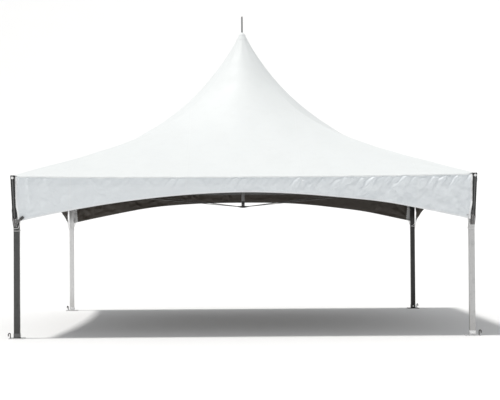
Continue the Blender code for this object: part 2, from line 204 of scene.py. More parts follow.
def quads(rows, columns, around=False, closed=False):
    """Faces of a grid of points. Around joins the last column to the first, and closed the last row."""
    number = np.arange(rows * columns).reshape(rows, columns)
    if around:
        number = np.hstack([number, number[:, :1]])
    if closed:
        number = np.vstack([number, number[:1]])
    return np.stack([number[:-1, :-1], number[1:, :-1], number[1:, 1:], number[:-1, 1:]], -1).reshape(-1, 4)


def piece(name, points, faces, finishes, slot=None, kinds=None, uv=None, sharp=35):
    """A mesh object at the origin with its faces turned outward, hung under the root body when a slot is
    given.
    """
    mesh = bpy.data.meshes.new(name)
    mesh.from_pydata(np.reshape(points, (-1, 3)).tolist(), [], [list(face) for face in faces])
    if kinds is not None:
        mesh.polygons.foreach_set("material_index", np.asarray(kinds, np.int32))
    work = bmesh.new()
    work.from_mesh(mesh)
    bmesh.ops.recalc_face_normals(work, faces=work.faces)
    work.to_mesh(mesh)
    work.free()
    for finish in finishes:
        mesh.materials.append(finish)
    if uv is not None:
        corner = np.empty(len(mesh.loops), np.int32)
        mesh.loops.foreach_get("vertex_index", corner)
        layer = mesh.uv_layers.new(name="UVMap")
        layer.data.foreach_set("uv", np.reshape(uv, (-1, 2))[corner].astype(np.float32).ravel())
    mesh.shade_smooth()
    mesh.set_sharp_from_angle(angle=np.radians(sharp))
    obj = bpy.data.objects.new(name, mesh)
    bpy.context.scene.collection.objects.link(obj)
    if slot:
        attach(obj, "root")
    return obj


swing = np.linspace(0, FLOOR_SLOPE, 17)
reach = np.concatenate([FLOOR_RINGS, FLOOR_FLAT + FLOOR_SWEEP * np.sin(swing), [FLOOR_RIM]])[:, None]
lift = FLOOR_SWEEP * (1 - np.cos(swing))
rim_lift = lift[-1] + (FLOOR_RIM - reach[-2, 0]) * np.tan(FLOOR_SLOPE)
level = np.concatenate([np.zeros(len(FLOOR_RINGS)), lift, [rim_lift]])[:, None]
dish = about_middle(reach, bearings(96), level)
faces = quads(*dish.shape[:2], around=True).tolist() + [list(range(dish.shape[1]))]
finish = Finish("studio_floor", 0.9)
pale = finish.set(finish.layered(grey(0.86), (finish.noise(0.3, 2.0), grey(0.88))))
floor = piece("studio_floor", dish, faces, [pale])
floor.data.flip_normals()


# Canopy: one continuous sheet of white coated polyester, welded from strips, stretched from the crown ring
# down to the eave beams, where its rope edge rolls over and hides the top of the valances.
SIDES = ("front", "right", "rear", "left")
ROOF_EASE = 0.200
CROWN_SHARE = 0.0148
CROWN_SETTLE, SETTLE_SHARE = 0.014, 0.09
ROUND_FROM = 0.10
EAVE_SAG, EAVE_DROP = 0.020, 0.004
CAD_FABRIC = 0.006
SHEET = 0.0015
CORNER_CUT, CORNER_SHARP = 6.003, 400
SIDE_COLUMNS = 116
LIP_RADIUS = 0.009
LIP_FROM, LIP_TO = np.radians((19, 96))
# The short hem under the lip: how far it lies out from the canopy's edge, and how far down.
LIP_HEM_OUT, LIP_HEM_DOWN = (0.0036, 0.0002, -0.0027), (0.013, 0.017, 0.021)
CROWN_FOLD, CORNER_FAN, BROAD_FOLD, EAVE_PUCKER = 0.0016, 0.0035, 0.004, 0.0022
FAN_AT, FAN_SIZE = 3.0, 0.45
STRIP = 1.52
WELD_HALF, HIP_HALF, EAVE_DOUBLED, PATCH_RADIUS = 0.018, 0.030, 0.045, 0.30
CANOPY_WHITE = 0.757

(_, south, under_mid), (_, _, CAD_CROWN_Z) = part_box("roof_panel_front")
PLAN_HALF = -south - 0.0002
EAVE_Z = under_mid + EAVE_SAG + CAD_FABRIC
ROOF_SWEEP = (CAD_CROWN_Z - EAVE_Z) / np.log((1 + ROOF_EASE) / (CROWN_SHARE + ROOF_EASE))


def waves(seed, count, shortest, longest, *places):
    """A rippled field from -1 to 1 or so: seeded sines of random direction, length and phase, summed."""
    draw = np.random.default_rng(seed)
    total = 0
    for _ in range(count):
        length = np.exp(draw.uniform(np.log(shortest), np.log(longest)))
        heading = draw.normal(size=len(places))
        heading /= np.linalg.norm(heading)
        run = sum(h * p for h, p in zip(heading, places))
        total = total + np.sin(2 * np.pi * run / length + draw.uniform(0, 2 * np.pi))
    return total / np.sqrt(count)


def soft_step(value, low, high):
    """0 at low, 1 at high, a cubic between, level beyond. It falls where low is the greater."""
    t = np.clip((value - low) / (high - low), 0, 1)
    return t * t * (3 - 2 * t)


def bell(value, half):
    """1 at 0, falling both ways as a bell curve."""
    return np.exp(-(value / half) ** 2)


def face_normals(grid, around=False):
    """Unit normals of a grid of points: its slope down the rows crossed with that along the columns."""
    along = np.roll(grid, -1, 1) - np.roll(grid, 1, 1) if around else np.gradient(grid, axis=1)
    normal = np.cross(np.gradient(grid, axis=0), along)
    return normal / np.linalg.norm(normal, axis=-1, keepdims=True)


def two_faced(outer, thick, around=False):
    """A sheet: the outer grid, the same grid moved in along its normals by thick, and rims that join them.
    Returns points, faces and each face's kind, 0 for the outer face and rims and 1 for the inner."""
    rows, columns = outer.shape[:2]
    inner = outer - face_normals(outer, around) * np.broadcast_to(thick, (rows, columns))[..., None]
    face = quads(rows, columns, around)
    number = np.arange(rows * columns).reshape(rows, columns)
    loops = [number[0], number[-1]]
    if not around:
        loops = [np.concatenate([number[0, :-1], number[:-1, -1], number[-1, :0:-1], number[:0:-1, 0]])]
    rims = []
    for loop in loops:
        other = loop + rows * columns
        rims.append(np.stack([loop, np.roll(loop, -1), np.roll(other, -1), other], -1))
    faces = np.concatenate([face, *rims, face + rows * columns])
    kinds = np.zeros(len(faces), int)
    kinds[-len(face):] = 1
    return np.stack([outer, inner]), faces, kinds


def run_along(path):
    """The distance run along a path at each of its points."""
    return np.concatenate([[0], np.cumsum(np.linalg.norm(np.diff(path, axis=0), axis=1))])


def roof_height(share):
    """Height of the roof: it falls with the log of the share of the way out plus an ease, and near the
    crown it has settled a little, by a bell curve of the share."""
    settled = CROWN_SETTLE * bell(share, SETTLE_SHARE)
    return EAVE_Z + ROOF_SWEEP * np.log((1 + ROOF_EASE) / (share + ROOF_EASE)) - settled


CROWN_Z = float(roof_height(CROWN_SHARE))


def canopy_grid(rows=78, columns=SIDE_COLUMNS):
    """The canopy's outer face: shares of the way out down the rows, bearings round the columns. Rings turn
    from round to square with cut corners as blend goes from 0 to 1. Tension folds then move it along its
    normals, and last comes the lip, an arc over the eave and a short hem that draws in to the valance."""
    t = -1 + 2 * np.arange(columns) / columns
    across = np.tile(1.25 * t - 0.25 * t ** 3, 4)[None]
    bearing = np.arctan(across)
    heading = bearing + np.repeat(np.arange(4), columns)[None] * np.pi / 2
    square = 1 / np.cos(bearing)
    cut = CORNER_CUT / PLAN_HALF / (np.cos(bearing) + np.abs(np.sin(bearing)))
    outline = (square ** -CORNER_SHARP + cut ** -CORNER_SHARP) ** (-1 / CORNER_SHARP)
    share = CROWN_SHARE + (1 - CROWN_SHARE) * (np.linspace(0, 1, rows) ** 1.35)[:, None]
    blend = soft_step(share, ROUND_FROM, 1)
    reach = PLAN_HALF * share * (1 - blend + blend * outline)
    true_share = reach / (PLAN_HALF * (1 - blend + blend * square))
    sag = EAVE_SAG * true_share ** 4 * (1 - across ** 2)
    height = roof_height(true_share) - sag - EAVE_DROP * share
    base = about_middle(reach, heading, height)

    x, y, _ = np.moveaxis(base, -1, 0)
    out, eave = np.hypot(x, y), PLAN_HALF - np.maximum(np.abs(x), np.abs(y))
    crown = (np.cos(12 * heading + 0.9) + 0.7 * np.sin(7 * heading)) * bell(out - 0.20, 0.13)
    from_x, from_y = FAN_AT - np.abs(x), FAN_AT - np.abs(y)
    corner = np.hypot(from_x, from_y) / FAN_SIZE
    fan = np.cos(18 * np.arctan2(from_x, from_y)) * corner * np.exp(1 - corner)
    broad = waves(3, 9, 0.5, 1.8, x, y) * soft_step(eave, 0.0, 0.5) * soft_step(out, 0.1, 0.6)
    along = np.where(np.abs(x) > np.abs(y), y, x)
    pucker = waves(5, 7, 0.13, 0.45, along, 0.4 * eave) * np.exp(-eave / 0.10)
    proud = CROWN_FOLD * crown + CORNER_FAN * fan + BROAD_FOLD * broad + EAVE_PUCKER * pucker
    grid = base + face_normals(base, True) * proud[..., None]

    edge = grid[-1]
    outward = np.cross(np.roll(edge, -1, 0) - np.roll(edge, 1, 0), (0, 0, 1))
    outward /= np.linalg.norm(outward, axis=-1, keepdims=True)
    arc = np.linspace(LIP_FROM, LIP_TO, 8)[1:]
    away = np.concatenate([LIP_RADIUS * (np.sin(arc) - np.sin(LIP_FROM)), LIP_HEM_OUT])
    drop = np.concatenate([LIP_RADIUS * (np.cos(LIP_FROM) - np.cos(arc)), LIP_HEM_DOWN])
    hang = 1 + 0.12 * waves(9, 5, 0.2, 0.7, edge[:, 0], edge[:, 1])
    lip = edge[None] + away[:, None, None] * outward[None]
    lip[..., 2] -= drop[:, None] * hang[None]
    return np.concatenate([grid, lip])


def scrim_of(*runs):
    """The scrim's threads under the coating: thin bands along each run, 8 mm apart."""
    one, two = (run.repeat(0.004).band(0.0007, 0.0010) for run in runs)
    return one + two


def vinyl(name, white, inner):
    """Coated polyester, satin, on a scrim whose grid just shows, with welded strips and slight dust. Its
    inner face is painted shade: a dark grey for the shadow under the canopy.
    """
    finish = Finish(name, 0.42)
    x, y, z = finish.axes()
    along, out = abs(x).least(abs(y)), abs(x).most(abs(y))
    weld = (along - STRIP / 2).repeat(STRIP / 2)
    hip_distance = abs(abs(x) - abs(y)) * 0.7071
    from_mast = (x * x + y * y) ** 0.5
    eave = PLAN_HALF - out
    hip = hip_distance.band(HIP_HALF, 0.004) * out.rise(0.16, 0.20)
    patch = from_mast.band(PATCH_RADIUS, 0.004)
    doubled = weld.band(WELD_HALF, 0.003).most(hip).most(patch.most(eave.band(EAVE_DOUBLED, 0.004)))
    ridges = abs(from_mast.repeat(0.0125) - 0.0060).band(0.001, 0.002) * patch
    for distance, edge in ((weld, WELD_HALF), (hip_distance, HIP_HALF), (eave, EAVE_DOUBLED)):
        ridges = ridges + abs(distance - edge).band(0.0015, 0.002)
    dust = finish.noise(1.3, 5.0, rough=0.62).rise(0.42, 0.72)
    runs = finish.noise(1.0, 3.0, finish.drawn_out((9, 9, 0.8))).rise(0.45, 0.75)
    mottle = finish.noise(14.0, 3.0)
    # Painted shade: the inner face is coloured dark grey for the shadow under the canopy.
    if inner:
        colour = finish.layered(grey(0.040, 0.12), (finish.noise(3.0, 4.0), grey(0.066, 0.10)),
                                (doubled * 0.5, grey(0.032, 0.08)))
    else:
        tint = (white * 0.970, white * 1.002, white * 1.005, 1)
        worn = (white * 0.915, white * 0.940, white * 0.940, 1)
        fresh = (white * 0.99, white * 1.02, white * 1.022, 1)
        colour = finish.layered(tint, (dust * 0.35 + runs * 0.25, worn), (doubled * 0.25, fresh),
                                ((ridges * 0.14).least(1.0), grey(white * 0.72)))
    scrim = scrim_of(x + 0.35 * z, y + 0.35 * z)
    height = doubled * 0.4 + ridges * 0.25 + scrim * 0.05 + mottle * 0.08
    return finish.set(colour, 0.48 + mottle * 0.10 + dust * 0.12, height, 0.0011)


grid = canopy_grid()
points, faces, kinds = two_faced(grid, SHEET, around=True)
canopy_skins = [vinyl("canopy_white", CANOPY_WHITE, False), vinyl("canopy_underside_painted_shade", CANOPY_WHITE, True)]
canopy = piece("canopy", points, faces, canopy_skins, "roof_vinyl", kinds)
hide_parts(*(f"roof_panel_{side}" for side in SIDES))


# Crown boot: a gathered sleeve of the same cloth, welded to the canopy round the crown, that closes the hole
# over the mast and draws in tight round the rod of the spike.
BOOT_SHEET, BOOT_GATHERS, GATHER_DEEP = 0.0010, 14, 0.03
BOOT_PROFILE = ((0.0142, 0.0440), (0.0150, 0.0405), (0.0225, 0.0325), (0.0335, 0.0215), (0.0435, 0.0115),
                (0.0492, 0.0040), (0.0520, -0.0030))
SKIRT_FROM, SKIRT_TO, SKIRT_LIFT = 0.056, 0.086, 0.0042


def smooth_path(points, count):
    """A Catmull-Rom curve through points, resampled to an even spacing."""
    points = np.asarray(points, float)
    padded = np.concatenate([2 * points[:1] - points[1:2], points, 2 * points[-1:] - points[-2:-1]])
    t = np.linspace(0, len(points) - 1, 12 * len(points))
    i = np.minimum(t.astype(int), len(points) - 2)
    u = (t - i)[:, None]
    a, b, c, d = padded[i], padded[i + 1], padded[i + 2], padded[i + 3]
    curve = 2 * b + (c - a) * u + (2 * a - 5 * b + 4 * c - d) * u ** 2 + (3 * b - a - 3 * c + d) * u ** 3
    curve *= 0.5
    run = run_along(curve)
    even = np.linspace(0, run[-1], count)
    return np.stack([np.interp(even, run, axis) for axis in curve.T], -1)


def boot_grid(rows=44, columns=112):
    """The boot's outer face: a smooth profile from the rod down over the crown and out along the canopy,
    turned about the mast, with cosine gathers round it that are deepest on the cone."""
    skirt = np.linspace(SKIRT_FROM, SKIRT_TO, 6)
    profile = [(radius, CROWN_Z + above) for radius, above in BOOT_PROFILE]
    profile += list(zip(skirt, roof_height(skirt / PLAN_HALF) + SKIRT_LIFT))
    radius, height = smooth_path(profile, rows).T[:, :, None]
    above = height - CROWN_Z
    cone = soft_step(above, -0.02, 0.01) * soft_step(above, 0.042, 0.030)
    radius = radius * (1 + GATHER_DEEP * cone * np.cos(BOOT_GATHERS * bearings(columns)))
    return about_middle(radius, bearings(columns), height)


points, faces, kinds = two_faced(boot_grid(), BOOT_SHEET, around=True)
boot = piece("crown_boot", points, faces, canopy_skins, "roof_vinyl", kinds)


# Valances: arched skirts of the same cloth under each eave, hemmed along the arch, pressed over the face of
# the beam and lashed at both lower corners. Folds slant away from the eave where the cloth is tight.
VALANCE_SHEET = 0.0012
VALANCE_WHITE = 0.770
TUCK = 0.011
HEM = 0.022
HEM_EXTRA = 0.0010
GROMMET, GROMMET_FAN, GROMMET_FLAT = (2.928, 1.580), 0.14, 0.035
END_REACH, END_REACH_FROM, END_REACH_TO = 2.995, 1.58, 1.80
# Painted light: how far a pale band reaches in from each end of the inner face, standing in for daylight
# through the gap by the leg.
END_DAYLIGHT_BAND = 0.085
ARCH_MID_Z = 1.895
ARCH_POWER = 1.85
(_, _, ARCH_END_Z), (CAD_HALF, _, _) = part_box("valance_front")
VALANCE_HALF = CAD_HALF + 0.001
(_, beam_front, BEAM_LOW), (_, _, BEAM_HIGH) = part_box("eave_beam_front")
BEAM_FACE = -beam_front
CLOTH_FACE = PLAN_HALF - 0.0006
PRESSED_GAP, LEAST_GAP = 0.0026, 0.0016
PAD_PROUD, FAN_PROUD, SWAY_PROUD, CRUMPLE_PROUD, RIPPLE_PROUD = 0.0195, 0.0040, 0.0060, 0.0110, 0.0008
PAD_LEAN, PAD_FADE = 0.7, (0.19, 0.05)
TIGHT_FROM, TIGHT_TO = -0.8, 1.2
UV_START = 4
END_CROWDING = 1.2
# Which way each side's folds run, and how far their places are drawn in toward the middle.
SIDE_MIRROR, SIDE_SPREAD = (1, -1, 1, -1), (1.0, 0.985, 0.97, 0.99)
# The stitched rows: how far they lie in from the hem's two edges, a thread's half width with its soft edge,
# and a stitch's length. Then half a weld's width, the scallops of the pale inner band of painted daylight,
# and the tape at the ends.
SEAM_UNDER, SEAM_OVER, THREAD, STITCH_LONG = 0.004, 0.005, (0.0009, 0.0010), 0.0045
SEAM_WELD, SCALLOP, TAPE_WIDE = 0.016, 0.0160, 0.020
# Each fold: its place along the eave, its lean sideways for each metre down, its length down the cloth, half
# its width, and how far it stands proud.
FOLDS = (
    (2.950, -0.25, 0.22, 0.018, 0.0110),
    (2.865, -0.75, 0.13, 0.024, 0.0110),
    (2.790, -0.60, 0.26, 0.026, 0.0190),
    (2.665, -1.30, 0.12, 0.030, 0.0100),
    (2.555, -0.30, 0.34, 0.024, 0.0190),
    (2.395, -0.90, 0.17, 0.042, 0.0140),
    (2.255, -0.55, 0.14, 0.024, 0.0100),
    (2.140, -1.10, 0.30, 0.032, 0.0170),
    (1.900, -0.70, 0.15, 0.044, 0.0130),
    (1.760, -1.20, 0.28, 0.028, 0.0140),
    (1.470, -1.40, 0.16, 0.036, 0.0110),
    (1.310, -0.80, 0.22, 0.026, 0.0110),
    (0.830, -1.30, 0.17, 0.040, 0.0090),
    (0.300, -0.90, 0.13, 0.030, 0.0065),
    (-0.620, 0.90, 0.14, 0.040, 0.0060),
    (-1.340, 1.10, 0.15, 0.034, 0.0070),
    (-2.050, 0.90, 0.20, 0.040, 0.0080),
    (-2.620, 0.45, 0.30, 0.036, 0.0090),
    (-2.825, 0.10, 0.44, 0.026, 0.0140),
    (-2.925, 0.05, 0.30, 0.016, 0.0080),
)
# How each side's hem departs from the arch: the place, the half width and the lift of each soft bulge.
HEM_LIFTS = (((1.85, 0.45, 0.014),), (),
             ((0.0, 0.75, -0.026), (1.60, 0.50, 0.014), (-2.15, 0.35, 0.010)), ())


def turned_side(points, quarter):
    """Points of the front side turned to another side of the plan."""
    cosine, sine = ((1, 0), (0, 1), (-1, 0), (0, -1))[quarter]
    x, y, z = np.moveaxis(points, -1, 0)
    return np.stack([cosine * x - sine * y, sine * x + cosine * y, z], -1)


def hem_extra(above):
    """How much thicker the cloth is at a height above its lower edge: doubled over the hem."""
    return HEM_EXTRA * soft_step(above, HEM + 0.004, HEM - 0.002)


def valance_grid(quarter, columns=560, rows=40, hem_rows=6):
    """The valance's outer face: columns along the eave, closer at the ends, and rows down to the arch, a
    power curve, and its hem. Its face is then moved in and out: pressed to the beam, padded under the eave
    between narrow creases, proud in each fold as a bell curve across a slanting line, fanned round both
    eyelets, and crumpled by the size of a random wave."""
    seed, mirror, spread = 20 + 10 * quarter, SIDE_MIRROR[quarter], SIDE_SPREAD[quarter]
    across = np.sin(np.linspace(-1, 1, columns) * END_CROWDING) / np.sin(END_CROWDING)
    x = VALANCE_HALF * across
    top = EAVE_Z - EAVE_SAG * (1 - (x / PLAN_HALF) ** 2) - TUCK
    low = ARCH_MID_Z - (ARCH_MID_Z - ARCH_END_Z) * np.abs(np.clip(x / CAD_HALF, -1, 1)) ** ARCH_POWER
    for place, half_wide, rise in HEM_LIFTS[quarter]:
        low = low + rise * bell(x - place, half_wide)
    share = np.concatenate([np.linspace(0, 1, rows) ** 1.2, np.ones(hem_rows)])[:, None]
    hem = np.concatenate([np.full(rows, HEM), np.linspace(HEM * 0.93, 0, hem_rows)])[:, None]
    height = top + (low + HEM - top) * share + (hem - HEM)
    x = np.broadcast_to(x, height.shape)
    depth, above = top - height, height - low
    uv = np.stack([mirror * x + UV_START, above], -1)
    side, up = GROMMET[0] - np.abs(x), height - GROMMET[1]
    pull = np.hypot(side, up)

    press = soft_step(height, BEAM_LOW - 0.05, BEAM_LOW + 0.012)
    loose = soft_step(height, BEAM_LOW + 0.02, BEAM_LOW - 0.10)
    strained = 0.4 + 0.6 * soft_step(mirror * x, TIGHT_FROM, TIGHT_TO)
    proud = 0
    for place, lean, long, half_wide, high in FOLDS:
        off = x - mirror * spread * (place + lean * depth)
        proud = proud + high * bell(off, half_wide) * soft_step(depth, long, 0.4 * long)
    pads = np.sqrt(waves(seed, 12, 0.13, 0.60, x + mirror * PAD_LEAN * depth) ** 2 + 0.004) - 0.06
    proud = proud + PAD_PROUD * strained * pads * soft_step(depth, *PAD_FADE)
    brow = 0.028 + 0.050 * strained ** 2 * np.abs(waves(seed + 5, 7, 0.20, 0.70, x))
    proud = proud * soft_step(depth, 0.004, brow)
    fan = np.cos(13 * np.arctan2(up, side) + seed) * pull / GROMMET_FAN * np.exp(1 - pull / GROMMET_FAN)
    sway = soft_step(above, 0.5, 0.0) * waves(seed + 1, 6, 0.45, 1.6, x)
    crumple = np.sqrt(waves(seed + 2, 14, 0.14, 0.55, x, height) ** 2 + 0.01) - 0.6
    ripple = waves(seed + 3, 18, 0.05, 0.16, x, height)
    proud = proud + FAN_PROUD * fan + SWAY_PROUD * loose * sway
    proud = proud + CRUMPLE_PROUD * strained * loose * crumple + RIPPLE_PROUD * loose * ripple
    proud = proud * (1 - bell(pull, GROMMET_FLAT)) * (0.25 + 0.75 * soft_step(above, 0.0, 2.5 * HEM))
    face = CLOTH_FACE - press * (CLOTH_FACE - BEAM_FACE - PRESSED_GAP) + proud + hem_extra(above)
    widened = soft_step(height, END_REACH_FROM, END_REACH_TO) * np.abs(across) ** 12
    x = x * (1 + (END_REACH / VALANCE_HALF - 1) * widened)
    grid = np.stack([x, -np.maximum(face, BEAM_FACE + LEAST_GAP), height], -1)
    return grid, uv


def valance_cloth(name, white, inner):
    """The valance's cloth: a stitched hem, welded strips, a painted shadow of the beam at the top, darker
    blotches of painted shade where it is tight and folded, bound ends, and on the inner face a dark grey of
    painted shade with a pale scalloped band of painted daylight at each end. The UV map is metres along the
    eave, toward its tighter end, and metres above the hem's edge."""
    finish = Finish(name, 0.45)
    x, y, z = finish.axes()
    run, above, _ = finish.laid()
    run = run - UV_START
    hem = above.band(HEM, 0.003)
    rows = abs(above - HEM + SEAM_UNDER).band(*THREAD) + abs(above - SEAM_OVER).band(*THREAD)
    stitch = run.repeat(STITCH_LONG).rise(0.0012, 0.0020) * rows
    weld = (abs(run) - STRIP / 2).repeat(STRIP / 2)
    strip = weld.band(SEAM_WELD, 0.003)
    ridge = abs(weld - SEAM_WELD).band(0.0015, 0.002)
    cloud = finish.noise(2.2, 4.0)
    # A painted shadow of the beam: the cloth is darker in clouds over the beam's height.
    beam = z.rise(BEAM_LOW - 0.012, BEAM_LOW + 0.010) * (0.25 + 0.75 * cloud.rise(0.40, 0.60))
    end = abs(abs(run) - VALANCE_HALF)
    scallop = above.repeat(SCALLOP) * 0.9
    # Painted light: a pale scalloped band at each end stands in for daylight seen through the gap by the
    # leg.
    painted_daylight_band = 1 - (end - scallop).rise(END_DAYLIGHT_BAND - 0.016, END_DAYLIGHT_BAND - 0.012)
    tape = end.band(TAPE_WIDE, 0.002)
    crumple = finish.noise(7.0, 5.0, finish.drawn_out((1, 1, 1.6)), 0.6)
    slanted = {"X": abs(run) - above * 0.6, "Y": above * 0.65, "Z": x * 0.35 + y * 0.6}
    slanted = finish.node("ShaderNodeCombineXYZ", (), slanted)
    strained = run.rise(TIGHT_FROM, TIGHT_TO) * 0.65 + 0.35
    crinkle = abs(finish.noise(6.0, 2.0, slanted, 0.42) - 0.5) * 4 * strained
    height = hem * 0.04 + strip * 0.012 + ridge * 0.008 + scrim_of(run, above) * 0.004 - stitch * 0.025
    if inner:
        # Painted shade: the inner face is dark grey for the shadow under the canopy.
        colour = finish.layered(grey(0.052, 0.20), (cloud, grey(0.084, 0.18)), (hem * 0.35, grey(0.10)),
                                (painted_daylight_band * 0.95, grey(0.88)))
        height = height + painted_daylight_band * 0.03 + crinkle * 0.15
    else:
        tint = (white * 0.955, white * 1.000, white * 1.030, 1)
        # A darker tone of painted shade: blotches where the cloth is tight and folded, and the beam's
        # shadow.
        painted_shade_tone = (white * 0.815, white * 0.865, white * 0.905, 1)
        colour = finish.layered(
            tint, (crumple.rise(0.35, 0.68) * 0.40 * strained, painted_shade_tone), (beam * 0.30, painted_shade_tone),
            (strip * 0.10, grey(white * 1.04)), (hem * 0.40, grey(white * 1.10)),
            (tape * 0.75, grey(white * 1.22)), (ridge * 0.08 + stitch * 0.40, grey(white * 0.60)))
        height = height + tape * 0.04 + crinkle * 0.75
    return finish.set(colour, 0.40 + crumple * 0.12, height, 0.016)


skins = [valance_cloth("valance_white", VALANCE_WHITE, False)]
skins.append(valance_cloth("valance_inner_painted_light_and_shade", VALANCE_WHITE, True))
for quarter, side in enumerate(SIDES):
    grid, uv = valance_grid(quarter)
    points, faces, kinds = two_faced(grid, VALANCE_SHEET + hem_extra(uv[..., 1]))
    points = turned_side(points, quarter)
    cloth = piece(f"valance_cloth_{side}", points, faces, skins, "valance_vinyl", kinds, np.stack([uv, uv]))
    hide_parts(f"valance_{side}")


# Tube frame: legs and eave beams of drawn aluminium, mill finish, brushed along their length and dulled
# outdoors. Each leg's tone is painted light and shade: the sunlit legs are pale, the shaded legs dark.
CORNERS = {"front_left": (-1, -1), "front_right": (1, -1), "rear_left": (-1, 1), "rear_right": (1, 1)}
# Painted light and shade: a pale tone for each sunlit leg, a dark one for each shaded leg.
LEG_LIT_AND_SHADED_TONES = {"front_left": 0.090, "front_right": 0.48, "rear_left": 0.70, "rear_right": 0.055}
BEAM_TONE = 0.20
# Streaks to the metre along each axis, few along the tube and many across it.
UPRIGHT, CROSSWISE, LENGTHWISE = (260, 260, 3), (3, 260, 260), (260, 3, 260)


def dress(node, finish):
    """Gives a finer material to a node's own mesh."""
    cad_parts[node].material_slots[0].material = finish


def aluminium(name, drawn, tone):
    """Drawn aluminium: streaks along the tube, oxide clouds, scuffs near the ground, short scratches."""
    finish = Finish(name, 0.40, metallic=1.0)
    streak = finish.noise(1.0, 4.0, finish.drawn_out(drawn), 0.65)
    oxide = finish.noise(23.0, 5.0, rough=0.7).rise(0.52, 0.70)
    low = 1 - (finish.axes()[2] + finish.noise(6.0, 4.0) * 0.25).rise(0.10, 0.55)
    scratch = finish.noise(1.0, 2.0, finish.drawn_out((60, 60, 420))).rise(0.66, 0.70)
    colour = finish.layered(
        grey(tone * 0.75), (streak, grey(tone * 1.25)), (oxide * 0.35, grey(tone * 0.68)),
        (low * 0.35, grey(tone * 0.60, 0.05)), (scratch * 0.3, grey(tone * 2.0)))
    rough = 0.30 + streak * 0.14 + oxide * 0.16 + low * 0.10
    return finish.set(colour, rough, streak * 0.5 + scratch * 0.4, 0.0003)


for corner, tone in LEG_LIT_AND_SHADED_TONES.items():
    dress(f"leg_{corner}", aluminium(f"aluminium_leg_{corner}", UPRIGHT, tone))
crosswise = aluminium("aluminium_crosswise", CROSSWISE, BEAM_TONE)
lengthwise = aluminium("aluminium_lengthwise", LENGTHWISE, BEAM_TONE)
for side, metal in zip(SIDES, (crosswise, lengthwise) * 2):
    dress(f"eave_beam_{side}", metal)


# Mast: a round aluminium tube in two lengths, pinned through a sleeve. Its foot is open over the plug of the
# shoe that it stands on.
(_, _, MAST_FOOT_Z), (MAST_RADIUS, _, MAST_TOP_Z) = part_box("mast")
MAST_BORE = 0.0222
SLEEVE_LOW, SLEEVE_HIGH = 3.02, 3.18
SLEEVE_OUT = MAST_RADIUS + 0.0034
PIN_INSET, PIN_OUT, PIN_WASHER = 0.03, 0.003, 0.0085
EDGE, GAP = 0.0006, 0.0003


def circle(radius, steps):
    """Points round a circle: the cosine and sine of equal turns."""
    return radius * np.stack([np.cos(bearings(steps)), np.sin(bearings(steps))], -1)


def solid(rings, closed=False):
    """Points and faces through equal rings: flat ends, or the last ring joined to the first."""
    count, size = rings.shape[:2]
    ends = [] if closed else [list(range(size)), list(range((count - 1) * size, count * size))]
    return rings.reshape(-1, 3), quads(count, size, True, closed).tolist() + ends


def lathe(profile, steps=40, closed=False):
    """A solid turned about the Z axis through (radius, height) pairs."""
    profile = np.asarray(profile, float)[:, None]
    flat = profile[..., :1] * circle(1, steps)
    height = np.broadcast_to(profile[..., 1:], (*flat.shape[:2], 1))
    return solid(np.concatenate([flat, height], -1), closed)


def joined(*solids):
    """Several solids as one list of points and one of faces."""
    points, faces, start = [], [], 0
    for own_points, own_faces in solids:
        points.append(own_points)
        faces += [[start + corner for corner in face] for face in own_faces]
        start += len(own_points)
    return np.concatenate(points), faces


def aimed(made, place, axis):
    """A solid built along Z, turned so that Z lies along a unit axis, level or upright, then placed."""
    side = np.cross((0, 0, 1) if axis[0] or axis[1] else (0, 1, 0), axis)
    points, faces = made
    return points @ np.stack([side, np.cross(axis, side), axis]) + place, faces


def hex_bolt(size):
    """A washer of radius size on the XY plane under a chamfered hexagon head."""
    washer = lathe([(size, 0), (size, 0.14 * size), (0.94 * size, 0.20 * size)], 24)
    head = lathe([(0.80 * size, 0.15 * size), (0.80 * size, 0.62 * size), (0.66 * size, 0.74 * size)], 6)
    return joined(washer, head)


wall = [(MAST_BORE, MAST_FOOT_Z), (MAST_RADIUS - EDGE, MAST_FOOT_Z), (MAST_RADIUS, MAST_FOOT_Z + EDGE)]
wall += [(MAST_RADIUS, MAST_TOP_Z), (MAST_BORE, MAST_TOP_Z)]
sleeve = [(MAST_RADIUS + 0.0001, SLEEVE_LOW), (SLEEVE_OUT - EDGE, SLEEVE_LOW)]
sleeve.append((SLEEVE_OUT, SLEEVE_LOW + 0.001))
sleeve += [(radius, SLEEVE_LOW + SLEEVE_HIGH - z) for radius, z in sleeve[::-1]]
parts = [lathe(wall, closed=True), lathe(sleeve, closed=True)]
for z in (SLEEVE_LOW + PIN_INSET, SLEEVE_HIGH - PIN_INSET):
    for sign in (-1, 1):
        parts.append(aimed(hex_bolt(PIN_WASHER), (0, sign * (MAST_RADIUS + PIN_OUT), z), (0, sign, 0)))
mast_finish = aluminium("aluminium_mast", UPRIGHT, 0.24)
mast = piece("mast_tube", *joined(*parts), [mast_finish], "tube_aluminium")
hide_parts("mast")


# Peak spike: a turned aluminium finial. Its plug stands in the mast, its flange fills the crown's hole, its
# dome lies over the hole's edge under the boot, and its rod stands clear above.
FLANGE_RADIUS, DOME_RADIUS, ROD_RADIUS = 0.0435, 0.0465, 0.0125
DOME_RIM, DOME_TALL = CROWN_Z + 0.004, 0.020
PLUG_LONG = 0.08
TIP_TURN = 80
SPIKE_TOP_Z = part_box("peak_spike")[1][2]


def arc(across, up, wide, tall, start, end, steps):
    """Points of an arc about a centre: two half widths times the cosine and sine of angles in degrees."""
    angle = np.radians(np.linspace(start, end, steps))
    return list(zip(across + wide * np.cos(angle), up + tall * np.sin(angle)))


